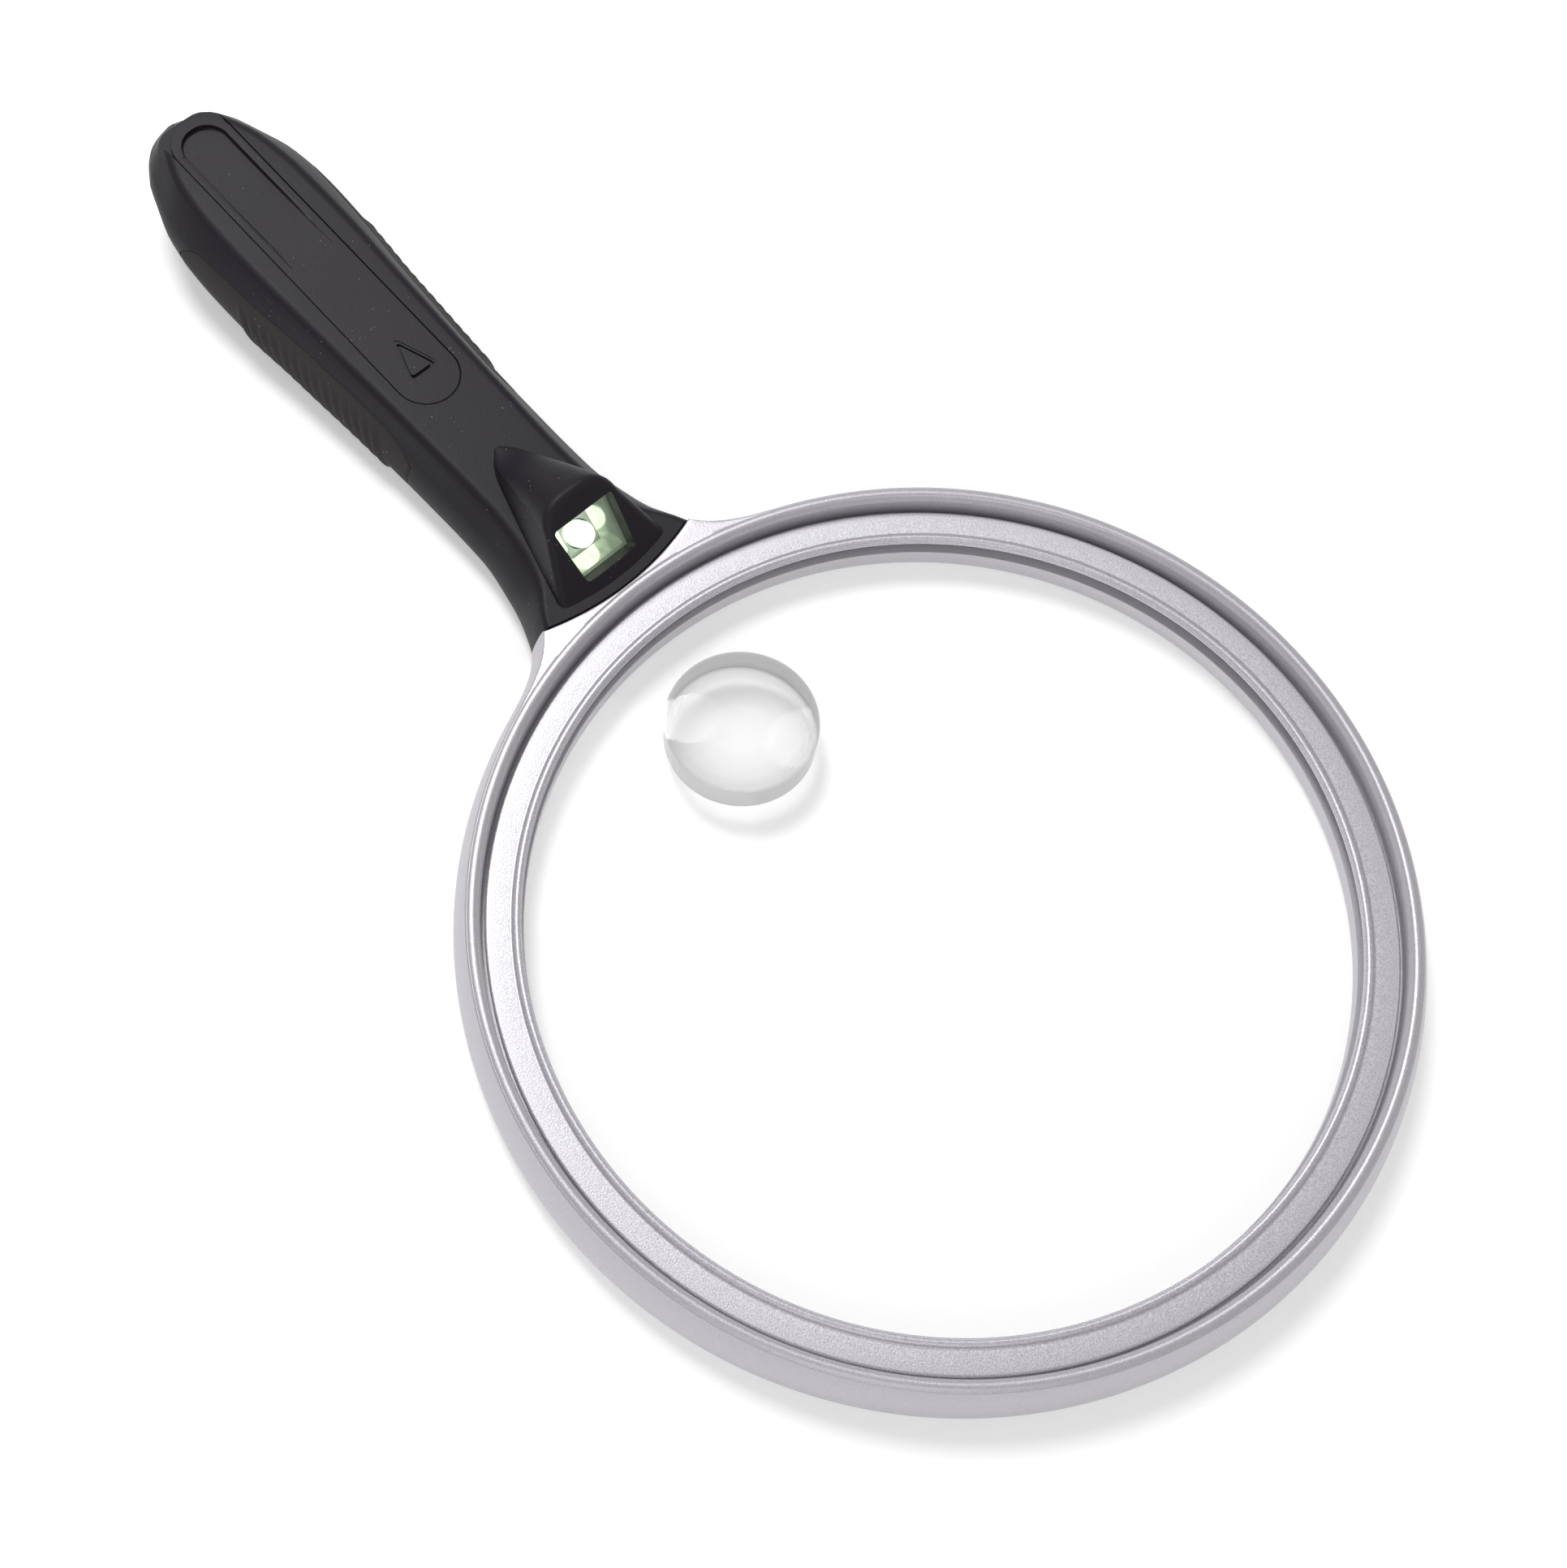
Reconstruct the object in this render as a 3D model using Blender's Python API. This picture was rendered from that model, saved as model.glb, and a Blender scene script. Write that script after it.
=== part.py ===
"""Lighted round hand magnifier: a silver ring with its lenses and a black handle with a lamp.

Metres, +Z up. The lens axis is vertical, the handle runs along -X and the lamp side faces +Z.
Lengths are written in millimetres and MM turns them into metres. S is the distance from the ring's
centre towards the butt of the handle, so a point has x = RING_X - S.
"""
import math

import bmesh
import bpy
from mathutils import Matrix, Vector

MM = 0.001
GAP = 0.3                      # space left between touching pieces

# Ring
WALL_R = 82.7                  # widest radius of the outer wall
RING_H = 12.5
OPENING_R = 71.0
GROOVE_R = 78.0                # inner wall of the groove round the retaining ring
SEAT_R = 73.8                  # bore that takes the lens
LENS_R = 73.5
LENS_Z = 6.4                   # lens mid-plane
LENS_EDGE = 1.4
LENS_CURVE = 480.0             # radius of curvature of both lens faces
SPOT_S, SPOT_Y = 48.6, -2.0
SPOT_R = 13.5
SPOT_CURVE = 62.0
RING_SEGMENTS = 72

# Handle
BUTT_S = 208.2
RING_X = (BUTT_S - WALL_R) / 2.0
JOIN_S = 80.6                  # where the handle's tongue meets the ring, on the centre line
JOIN_SAG = 2.4                 # how far the joint curves back at JOIN_Y
JOIN_Y = 16.0
TOP_S, TOP_Z, TOP_RISE = 82.0, 12.4, 0.07
TILT = math.atan(TOP_RISE)     # slope of the handle's flat top
SHELL = 1.9                    # wall thickness of the shells
FLOOR = 1.6                    # thickness of the bottom shell's floor
GRIP_DEPTH = 1.5
NORMAL_REACH = 3.0             # height over which a grip follows the slope of the side
RIB_START, RIB_PITCH, RIBS = 135.0, 2.65, 14

# Battery door, measured along the sloping top from TOP_S
DOOR_START, DOOR_END = 46.3, 121.0
DOOR_W = 12.4
DOOR_FLANGE_W = 14.2
DOOR_T = 1.2
DOOR_FLANGE_T = 2.2
MARK_APEX, MARK_BASE = 60.4, 53.4   # triangle that shows which way the door slides

# Battery compartment, measured along its sloping axis from CELL_S
CELL_S = 136.4
CELL_DROP = 8.0                # cell axis below the sloping top
CELL_R = 5.25
CELL_L = 44.5
TRAY_L = 54.8

# Lamp: its front plane slopes at 45 degrees and faces the lens
LAMP_S, LAMP_Z = 87.95, 18.3
LAMP_TOP, LAMP_BOTTOM, LAMP_HALF = 6.6, 5.6, 5.55
RECESS = 3.1

# Boards and switch
BOARD_S = (101.0, 127.0)
BOARD_Y = 8.0
BOARD_Z = 7.0
BOARD_T = 1.2
SWITCH_S = 112.0
SWITCH_TRAVEL = 3.0

# Tang and screws
TANG_Z = (3.6, 6.6)
NECK_SCREWS = ((91.5, 10.0), (91.5, -10.0))
MID_SCREWS = ((131.0, 8.4), (131.0, -8.4))
BUTT_SCREW = (196.0, 0.0)
SEAT_DEPTH, BUTT_SEAT_DEPTH = 2.3, 3.8   # screw seats above the outside of the floor
BOARD_SCREWS = ((104.0, 5.5), (124.0, -5.5))
SCREW_R, SCREW_HEAD_R, SCREW_HEAD_T = 1.15, 2.2, 1.2

# Half-widths and heights of the handle against S
WIDTH = ((80, 21.0), (82, 20.2), (84.5, 18.8), (88.2, 17.2), (91.3, 16.1), (94.5, 15.3), (104.7, 13.6),
         (113, 13.45), (120, 13.5), (128, 13.6), (139, 13.95), (149, 14.45), (157, 14.85), (165, 15.5),
         (172, 15.9), (178, 16.0), (184, 15.8), (187.5, 15.4), (191, 14.7), (194, 13.6), (197.5, 12.2),
         (200, 11.2), (202, 9.9), (204, 8.5), (205.5, 7.1), (206.8, 5.4), (207.7, 3.6), (BUTT_S, 1.4))
FLAT = ((80, 17.0), (84.5, 15.2), (91, 11.4), (98, 9.6), (108, 8.8), (125, 9.2), (150, 9.9), (170, 10.5),
        (182, 10.3), (192, 9.3), (200, 7.4), (203, 6.6), (205, 4.8), (207, 2.6), (BUTT_S, 0.6))
SHOULDER = ((80, 0.86), (84.5, 0.86), (88, 0.845), (91, 0.83), (98, 0.81), (125, 0.80), (145, 0.825),
            (165, 0.845), (185, 0.865), (204, 0.86), (BUTT_S, 0.85))
BEVEL_DROP = ((80, 0.5), (84.5, 0.6), (92, 2.2), (105, 3.2), (125, 3.4), (180, 4.0), (198, 4.4),
              (203, 4.2), (206, 1.4), (BUTT_S, 0.3))
EQUATOR = ((80, 3.9), (100, 4.4), (112, 4.8), (125, 5.2), (150, 6.3), (165, 7.2), (172, 8.2), (180, 9.4),
           (187, 10.6), (194, 11.9), (200, 12.6), (BUTT_S, 12.7))
BOTTOM = ((80, 0.0), (150, 0.0), (165, 0.4), (178, 1.3), (188, 2.9), (192, 3.7), (196, 5.2), (200, 7.0),
          (204, 9.2), (206.5, 10.6), (BUTT_S, 11.6))
SIDE_LOW = ((84, 0.975), (104, 0.90), (130, 0.885))   # share of the width low on the side
FOOT = ((84, 0.90), (104, 0.78), (130, 0.74))         # share of the width at the floor's edge
NOSE = ((201.5, 20.765), (203, 20.3), (204.1, 19.1), (205.4, 17.2), (206.6, 15.7), (207.6, 14.7),
        (BUTT_S, 14.3))
WALL = ((80, SHELL), (112, SHELL), (122, 3.4), (188, 3.4), (196, 2.2), (BUTT_S, 2.0))
ROOF = ((80, 2.0), (120, 2.0), (126, 3.5), (BUTT_S, 3.5))
GRIP_TOP = ((124.6, 9.4), (128, 11.2), (134, 12.4), (145, 13.1), (165, 14.0), (181, 14.7), (184.4, 13.6),
            (186.2, 11.4))
GRIP_LOW = ((124.6, 4.6), (128, 3.0), (134, 2.3), (165, 2.6), (181, 4.2), (184.4, 5.6), (186.2, 8.0))

# Outer wall of the ring and its neck: radius against height
RING_WALL = ((80.4, 0.0), (81.9, 0.9), (82.6, 2.6), (WALL_R, 4.0), (82.35, 6.5), (81.5, 9.5), (80.6, 11.7),
             (80.1, 12.25))
FLARE = ((95.0, 14.9), (91.3, 16.1), (88.2, 17.0), (84.6, 18.8), (82.9, 20.2), (81.4, 21.9), (80.0, 24.0),
         (78.4, 27.0), (76.6, 31.1))

# Hood over the lamp: half-width at its foot, half-width at its roof, and the roof's height, against S
HOOD_FOOT = ((78, 14.2), (84, 12.5), (98, 8.4), (108, 5.4), (112, 4.3), (113.5, 3.2), (115.2, 1.0))
HOOD_EDGE = ((78, 10.6), (84, 9.4), (90, 8.1), (95, 7.0), (100, 5.7), (106, 4.2), (112, 2.6), (115.2, 0.5))
HOOD_ROOF = ((78, 29.5), (84, 28.2), (90, 26.9), (95, 25.4), (100, 23.0), (106, 19.4), (112, 15.6),
             (115.2, 14.85))


# ---------------------------------------------------------------- numbers and places

def along(knots, s):
    """Value at s of a smooth curve through the knots that never overshoots them."""
    if s <= knots[0][0]:
        return knots[0][1]
    if s >= knots[-1][0]:
        return knots[-1][1]
    steps = [(b[1] - a[1]) / (b[0] - a[0]) for a, b in zip(knots, knots[1:])]
    slopes = [steps[0]]
    for left, right in zip(steps, steps[1:]):
        slopes.append(0.0 if left * right <= 0 else 2.0 * left * right / (left + right))
    slopes.append(steps[-1])
    index = max(i for i, knot in enumerate(knots[:-1]) if knot[0] <= s)
    (s0, v0), (s1, v1) = knots[index], knots[index + 1]
    span = s1 - s0
    t = (s - s0) / span
    return ((1 + 2 * t) * (1 - t) ** 2 * v0 + t * (1 - t) ** 2 * span * slopes[index]
            + t * t * (3 - 2 * t) * v1 + t * t * (t - 1) * span * slopes[index + 1])


def point(s, y, z):
    return Vector(((RING_X - s) * MM, y * MM, z * MM))


def top_height(s):
    if s <= NOSE[0][0]:
        return TOP_Z + TOP_RISE * (s - TOP_S)
    return along(NOSE, s)


def frame_matrix(origin, first, second, third):
    matrix = Matrix((first, second, third)).transposed().to_4x4()
    matrix.translation = origin
    return matrix


UP_SLOPE = Vector((-math.cos(TILT), 0.0, math.sin(TILT)))
OFF_SLOPE = Vector((math.sin(TILT), 0.0, math.cos(TILT)))
TOP_FRAME = frame_matrix(point(TOP_S, 0, TOP_Z), UP_SLOPE, Vector((0, -1, 0)), OFF_SLOPE)
CELL_ORIGIN = point(CELL_S, 0, top_height(CELL_S)) - OFF_SLOPE * CELL_DROP * MM
CELL_FRAME = frame_matrix(CELL_ORIGIN, Vector((0, -1, 0)), OFF_SLOPE, UP_SLOPE)
HALF_ROOT = math.sqrt(0.5)
LAMP_FRAME = frame_matrix(point(LAMP_S, 0, LAMP_Z), Vector((0, 1, 0)), Vector((-HALF_ROOT, 0, HALF_ROOT)),
                          Vector((HALF_ROOT, 0, HALF_ROOT)))
WORLD = Matrix.Identity(4)


def from_cell(along_axis, side, up):
    """A point given along the cell's axis, to its side and above it."""
    return CELL_FRAME @ Vector((-side * MM, up * MM, along_axis * MM))


# ---------------------------------------------------------------- making solids

def clear_scene():
    for item in list(bpy.data.objects):
        bpy.data.objects.remove(item, do_unlink=True)


def solid(name, points, faces):
    mesh = bpy.data.meshes.new(name)
    mesh.from_pydata([tuple(p) for p in points], [], faces)
    item = bpy.data.objects.new(name, mesh)
    bpy.context.scene.collection.objects.link(item)
    work = bmesh.new()
    work.from_mesh(mesh)
    bmesh.ops.remove_doubles(work, verts=work.verts, dist=1e-7)
    bmesh.ops.recalc_face_normals(work, faces=work.faces)
    work.to_mesh(mesh)
    work.free()
    return item


def loft(name, rings):
    """Skin through closed rings of points, capped at both ends."""
    count = len(rings[0])
    points = [p for ring in rings for p in ring]
    faces = [tuple(reversed(range(count)))]
    for r in range(len(rings) - 1):
        low, high = r * count, (r + 1) * count
        faces += [(low + i, low + (i + 1) % count, high + (i + 1) % count, high + i) for i in range(count)]
    faces.append(tuple(range(len(points) - count, len(points))))
    return solid(name, points, faces)


def prism(name, outline, low, high, frame=WORLD, top_outline=None):
    """An outline in a frame's first two axes, raised along its third, all in millimetres."""
    other = top_outline or outline
    rings = [[frame @ (Vector((a, b, low)) * MM) for a, b in outline],
             [frame @ (Vector((a, b, high)) * MM) for a, b in other]]
    return loft(name, rings)


def circle(radius, count, centre=(0.0, 0.0), start=0.0, turn=2 * math.pi):
    closed = abs(turn - 2 * math.pi) < 1e-9
    steps = count if closed else count - 1
    return [(centre[0] + radius * math.cos(start + turn * i / steps),
             centre[1] + radius * math.sin(start + turn * i / steps)) for i in range(count)]


def cylinder(name, radius, s, y, low, high, count=16):
    centre = (RING_X - s, y)
    return prism(name, circle(radius, count, centre), low, high)


def box(name, s_range, y_range, z_range):
    x0, x1 = RING_X - s_range[1], RING_X - s_range[0]
    outline = [(x0, y_range[0]), (x1, y_range[0]), (x1, y_range[1]), (x0, y_range[1])]
    return prism(name, outline, z_range[0], z_range[1])


def revolve(name, profile, centre_s=0.0, centre_y=0.0, segments=RING_SEGMENTS):
    """A closed (radius, height) profile turned round a vertical axis; radius 0 makes a pole."""
    points, rows = [], []
    for radius, height in profile:
        if radius == 0.0:
            rows.append([len(points)] * segments)
            points.append(point(centre_s, centre_y, height))
            continue
        rows.append(list(range(len(points), len(points) + segments)))
        for x, y in circle(radius, segments):
            points.append(point(centre_s, centre_y, height) + Vector((x, y, 0)) * MM)
    faces = []
    for one, two in zip(rows, rows[1:] + rows[:1]):
        for i in range(segments):
            j = (i + 1) % segments
            corners = [one[i], one[j], two[j], two[i]]
            face = [c for k, c in enumerate(corners) if c not in corners[:k]]
            if len(face) > 2:
                faces.append(face)
    return solid(name, points, faces)


def combine(target, others, operation):
    """Apply a Boolean of the target with each other solid, and remove the others."""
    for other in others:
        step = target.modifiers.new("step", "BOOLEAN")
        step.operation = operation
        step.object = other
        step.solver = "EXACT"
        evaluated = target.evaluated_get(bpy.context.evaluated_depsgraph_get())
        mesh = bpy.data.meshes.new_from_object(evaluated)
        target.modifiers.clear()
        target.data = mesh
        bpy.data.objects.remove(other, do_unlink=True)
    return target


def cut(target, *others):
    return combine(target, others, "DIFFERENCE")


def join(target, *others):
    return combine(target, others, "UNION")


def finish(item, name, material, smooth_degrees=35.0):
    """Name a solid, clean its mesh, shade it and give it its material."""
    item.name = name
    item.data.name = name
    work = bmesh.new()
    work.from_mesh(item.data)
    bmesh.ops.remove_doubles(work, verts=work.verts, dist=2e-6)
    bmesh.ops.dissolve_degenerate(work, edges=work.edges, dist=1e-6)
    bmesh.ops.triangulate(work, faces=[f for f in work.faces if len(f.verts) > 4])
    bmesh.ops.recalc_face_normals(work, faces=work.faces)
    limit = math.radians(smooth_degrees)
    for face in work.faces:
        face.smooth = True
    for edge in work.edges:
        edge.smooth = len(edge.link_faces) == 2 and edge.calc_face_angle(0.0) < limit
    work.to_mesh(item.data)
    work.free()
    item.data.materials.clear()
    item.data.materials.append(material)
    return item


def set_origin(item, place):
    item.data.transform(Matrix.Translation(-place))
    item.location = place


def tube(name, path, radius, material, sides=2):
    """A round wire along a list of points."""
    curve = bpy.data.curves.new(name, "CURVE")
    curve.dimensions = "3D"
    curve.bevel_depth = radius * MM
    curve.bevel_resolution = sides - 1
    curve.use_fill_caps = True
    spline = curve.splines.new("POLY")
    spline.points.add(len(path) - 1)
    for spot, place in zip(spline.points, path):
        spot.co = (place.x, place.y, place.z, 1.0)
    item = bpy.data.objects.new(name, curve)
    bpy.context.scene.collection.objects.link(item)
    curve.materials.append(material)
    return item


def eased(path, steps):
    """More points on a smooth curve through the given ones."""
    ends = [2 * path[0] - path[1]] + list(path) + [2 * path[-1] - path[-2]]
    out = []
    for a, b, c, d in zip(ends, ends[1:], ends[2:], ends[3:]):
        for i in range(steps):
            t = i / steps
            out.append(0.5 * (2 * b + (c - a) * t + (2 * a - 5 * b + 4 * c - d) * t * t
                              + (3 * b - a - 3 * c + d) * t ** 3))
    out.append(Vector(path[-1]))
    return out


def material(name, colour, roughness, metallic=0.0, alpha=1.0, glow=0.0):
    item = bpy.data.materials.new(name)
    item.use_nodes = True
    shader = item.node_tree.nodes["Principled BSDF"]
    shader.inputs["Base Color"].default_value = (*colour, 1.0)
    shader.inputs["Roughness"].default_value = roughness
    shader.inputs["Metallic"].default_value = metallic
    shader.inputs["Alpha"].default_value = alpha
    if glow:
        shader.inputs["Emission Color"].default_value = (*colour, 1.0)
        shader.inputs["Emission Strength"].default_value = glow
    return item


# ---------------------------------------------------------------- the handle's shape

WIDEST = 6                     # place of the widest point in a half-section

def half_section(s):
    """Outer half-section at s, from the middle of the top to the middle of the bottom."""
    width = along(WIDTH, s)
    flat = min(along(FLAT, s), width * 0.84)
    top = top_height(s)
    shoulder_y = along(SHOULDER, s) * width
    shoulder_z = top - along(BEVEL_DROP, s)
    middle = along(EQUATOR, s)
    low = along(BOTTOM, s)
    crown = min(0.2, 0.1 * (top - shoulder_z))      # how far the flat top rounds off at its edge
    return [(0.0, top),
            (0.6 * flat, top),
            (flat, top - crown),
            ((flat + shoulder_y) / 2 + crown, (top - crown + shoulder_z) / 2 + 1.5 * crown),
            (shoulder_y, shoulder_z),
            (shoulder_y + 0.60 * (width - shoulder_y), shoulder_z + 0.45 * (middle - shoulder_z)),
            (width, middle),
            (along(SIDE_LOW, s) * width, low + 0.36 * (middle - low)),
            (along(FOOT, s) * width, low + 0.06 * (middle - low)),
            (0.5 * width, low),
            (0.0, low)]


def inner_section(s, wall, roof, floor):
    """Half-section of the space inside the handle at s."""
    outer = half_section(s)
    ceiling, ground = outer[0][1] - roof, outer[-1][1] + floor
    flat, shoulder, widest, lower, edge = outer[2], outer[4], outer[6], outer[7], outer[8]
    flat_y = flat[0] - 0.3 * wall
    shoulder_y = max(shoulder[0] - 0.8 * wall, flat_y + 0.2)
    shoulder_z = min(shoulder[1] - 0.3 * wall, ceiling - 0.2)
    side_y = widest[0] - wall
    return [(0.0, ceiling),
            (0.6 * flat_y, ceiling),
            (flat_y, ceiling),
            (shoulder_y, shoulder_z),
            (shoulder_y + 0.66 * (side_y - shoulder_y), shoulder_z + 0.45 * (widest[1] - shoulder_z)),
            (side_y, widest[1]),
            (lower[0] - wall, max(lower[1], ground + 0.3)),
            (edge[0] - wall, ground),
            (0.5 * (edge[0] - wall), ground),
            (0.0, ground)]


def full_ring(s, half):
    left = [(-y, z) for y, z in reversed(half[1:-1])]
    return [point(s, y, z) for y, z in half + left]


def stations(start, end, step):
    count = max(1, round((end - start) / step))
    return [start + (end - start) * i / count for i in range(count + 1)]


def handle_stations():
    places = stations(79.5, 100.0, 2.6) + stations(100.0, 180.0, 8.0)[1:] + stations(180.0, 204.0, 4.0)[1:]
    return places + [205.0, 206.0, 206.8, 207.4, 207.9, BUTT_S]


def handle_half(name, above):
    """The handle above or below its parting line, which follows the widest part."""
    rings = []
    for s in handle_stations():
        half = half_section(s)
        width, middle = half[WIDEST]
        if above:
            level = middle + GAP / 2
            half = half[:WIDEST] + [(width, level), (0.0, level)]
        else:
            level = middle - GAP / 2
            half = [(0.0, level), (width, level)] + half[WIDEST + 1:]
        rings.append(full_ring(s, half))
    return loft(name, rings)


def cavity_solid():
    places = [86.0, 91.0, 98.0, 112.0, 122.0, 126.0, 145.0, 165.0, 188.0, 196.0, 200.0, 203.0]
    rings = []
    for s in places:
        rings.append(full_ring(s, inner_section(s, along(WALL, s), along(ROOF, s), FLOOR)))
    return loft("cavity", rings)


def join_line(offset, reach=23.0, count=13):
    """Plan curve where the handle meets the ring, as (x, y), moved towards the butt by offset."""
    outline = []
    for i in range(count):
        y = -reach + 2 * reach * i / (count - 1)
        outline.append((RING_X - (JOIN_S + JOIN_SAG * (y / JOIN_Y) ** 2 + offset), y))
    return outline


def lens_side_of_join(offset, low=-2.0, high=40.0):
    outline = join_line(offset)
    ahead = RING_X - 60.0
    return prism("lens_side", outline + [(ahead, 23.0), (ahead, -23.0)], low, high)


def butt_side_of_join(offset):
    outline = join_line(offset, reach=21.5)
    behind = RING_X - 110.0
    return prism("butt_side", outline + [(behind, 21.5), (behind, -21.5)], -2.0, 20.0)


def stadium(start, end, half_width, count=9, open_end=None):
    """Plan outline with a rounded start, and a rounded or an open square end."""
    outline = circle(half_width, count, (start + half_width, 0.0), math.pi / 2, math.pi)
    if open_end is None:
        return outline + circle(half_width, count, (end - half_width, 0.0), -math.pi / 2, math.pi)
    return outline + [(open_end, -half_width), (open_end, half_width)]


def lamp_outline(margin):
    """The lamp's four-sided outline, wider at its upper edge."""
    top, bottom, half = LAMP_TOP + margin, LAMP_BOTTOM + margin, LAMP_HALF + margin
    return [(-bottom, -half), (bottom, -half), (top, half), (-top, half)]


def hood_solid():
    rings = []
    for s in stations(78.5, 112.0, 3.35) + [113.5, 115.0]:
        foot, edge, roof = along(HOOD_FOOT, s), along(HOOD_EDGE, s), along(HOOD_ROOF, s)
        base = top_height(s) - 1.0
        rise = roof - base
        half = [(0.0, roof), (0.55 * edge, roof - 0.02 * rise), (0.86 * edge, roof - 0.07 * rise),
                (edge, roof - 0.18 * rise), (foot, base + 1.0 / rise), (foot, base), (0.0, base)]
        rings.append(full_ring(s, half))
    hood = loft("hood", rings)
    front = prism("front", [(-40, -60), (40, -60), (40, 60), (-40, 60)], 0.0, 60.0, LAMP_FRAME)
    return cut(hood, front, lens_side_of_join(1.8))


# ---------------------------------------------------------------- ring pieces

def build_ring_frame(paint):
    inner = [(80.0, 12.32), (79.6, 12.47), (79.1, RING_H), (78.6, 12.3), (78.25, 11.7), (GROOVE_R, 10.6),
             (GROOVE_R, 7.1), (SEAT_R, 7.1), (SEAT_R, 5.0), (OPENING_R, 5.0), (OPENING_R, 0.7), (71.8, 0.0)]
    frame = revolve("ring_frame", list(RING_WALL) + inner)
    levels = []
    for radius, height in RING_WALL:
        shift = WALL_R - radius
        side = []
        for i, (s, y) in enumerate(FLARE):
            before, after = FLARE[max(i - 1, 0)], FLARE[min(i + 1, len(FLARE) - 1)]
            run = Vector((after[0] - before[0], after[1] - before[1])).normalized()
            side.append((s - run.y * shift, y + run.x * shift))
        turn = math.atan2(side[-1][1], side[-1][0])
        inner_arc = [(77.8 * math.cos(a), 77.8 * math.sin(a))
                     for a in (turn * (1 - i / 6.0) for i in range(13))]
        ring = side + inner_arc + [(s, -y) for s, y in reversed(side)]
        levels.append([point(s, y, height - 0.02) for s, y in ring])
    neck = loft("neck", levels)
    groove = prism("groove", circle(GROOVE_R + 0.9, RING_SEGMENTS, (RING_X, 0.0)), -2.0, 20.0)
    neck = cut(neck, groove)
    frame = join(frame, neck)
    frame = cut(frame, butt_side_of_join(-GAP / 2))
    tang = box("tang", (77.0, 88.0), (-12.0, 12.0), TANG_Z)
    ears = [box("ear", (87.0, 96.0), (low, low + 4.6), TANG_Z) for low in (-12.0, 7.4)]
    frame = join(frame, tang, *ears)
    holes = [cylinder("hole", SCREW_R + 0.35, s, y, 0.5, 9.0) for s, y in NECK_SCREWS]
    return finish(cut(frame, *holes), "ring_frame", paint)


def build_retaining_ring(paint):
    profile = [(73.8, 7.4), (71.2, 7.8), (71.2, 8.5), (71.45, 8.95), (71.9, 9.1), (72.4, 8.95), (72.8, 8.6), (73.2, 8.55),
               (77.0, 8.7), (77.4, 8.3), (77.4, 7.4)]
    return finish(revolve("retaining_ring", profile), "retaining_ring", paint)


def lens_face(radius, curve, crest):
    return crest - radius * radius / (2.0 * curve)


def build_main_lens(glass):
    crest = LENS_EDGE / 2 + LENS_R ** 2 / (2 * LENS_CURVE)
    radii = [0.0, 18.0, 36.0, 55.0, LENS_R]
    upper = [(r, LENS_Z + lens_face(r, LENS_CURVE, crest)) for r in radii]
    lower = [(r, LENS_Z - lens_face(r, LENS_CURVE, crest)) for r in reversed(radii)]
    lens = revolve("main_lens", upper + lower, segments=64)
    hole = prism("hole", circle(SPOT_R + GAP, 40, (RING_X - SPOT_S, SPOT_Y)), -5.0, 20.0)
    return finish(cut(lens, hole), "main_lens", glass, 20.0)


def build_spot_lens(glass):
    crest = 4.3
    radii = [0.0, 4.5, 9.0, SPOT_R]
    upper = [(r, LENS_Z + lens_face(r, SPOT_CURVE, crest)) for r in radii]
    lower = [(r, LENS_Z - lens_face(r, SPOT_CURVE, crest)) for r in reversed(radii)]
    return finish(revolve("spot_lens", upper + lower, SPOT_S, SPOT_Y, 40), "spot_lens", glass, 30.0)


# ---------------------------------------------------------------- handle pieces

def side_point(s, z):
    """Half-width of the handle at s and height z, on its side."""
    half = half_section(s)[3:10]
    for (y0, z0), (y1, z1) in zip(half, half[1:]):
        if z1 <= z <= z0:
            return y0 + (y1 - y0) * (z0 - z) / (z0 - z1)
    return half[0][0] if z > half[0][1] else half[-1][0]


def grip_solid(side, name, margin, outward, inward, ribbed):
    """A band on the handle's side; a margin makes the pocket that takes it."""
    start, end = GRIP_TOP[0][0] - margin, GRIP_TOP[-1][0] + margin
    places = [145.0, 155.0, 165.0, 171.0]
    if ribbed:
        places = [RIB_START + RIB_PITCH * (i + part) for i in range(RIBS) for part in (0.35, 0.65, 1.0)]
    places = [start, 126.0, 128.5, 132.0, RIB_START] + places + [176.0, 180.0, 183.0, 185.0, end]
    rings = []
    for s in places:
        high, low = along(GRIP_TOP, s) + margin, along(GRIP_LOW, s) - margin
        turn = (s - RIB_START) / RIB_PITCH
        on_rib = ribbed and 0 < turn < RIBS and 0.3 < turn % 1.0 < 0.7
        outer, inner = [], []
        for i in range(6):
            z = high + (low - high) * i / 5.0
            y = side_point(s, z)
            slope = (side_point(s, z - NORMAL_REACH) - side_point(s, z + NORMAL_REACH)) / (2 * NORMAL_REACH)
            normal = Vector((1.0, slope)).normalized()
            rib = 0.35 if on_rib and i in (2, 3, 4) else 0.0
            outer.append(point(s, side * (y + normal.x * (outward + rib)), z + normal.y * (outward + rib)))
            inner.append(point(s, side * (y - normal.x * inward), z - normal.y * inward))
        rings.append(outer + inner[::-1])
    return loft(name, rings)


def pocket(side):
    return grip_solid(side, "pocket", GAP, 3.0, GRIP_DEPTH + GAP, False)


def build_grip(side, name, rubber):
    return finish(grip_solid(side, name, 0.0, 0.05, GRIP_DEPTH, True), name, rubber, 40.0)


def screw_posts(low_of, high_of, radius):
    spots = NECK_SCREWS + MID_SCREWS + (BUTT_SCREW,)
    return [cylinder("post", radius, s, y, low_of(s), high_of(s), 14) for s, y in spots]


def screw_seat(s):
    """Height of the face in the bottom shell that a screw's head bears on."""
    return along(BOTTOM, s) + (BUTT_SEAT_DEPTH if s == BUTT_SCREW[0] else SEAT_DEPTH)


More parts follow.
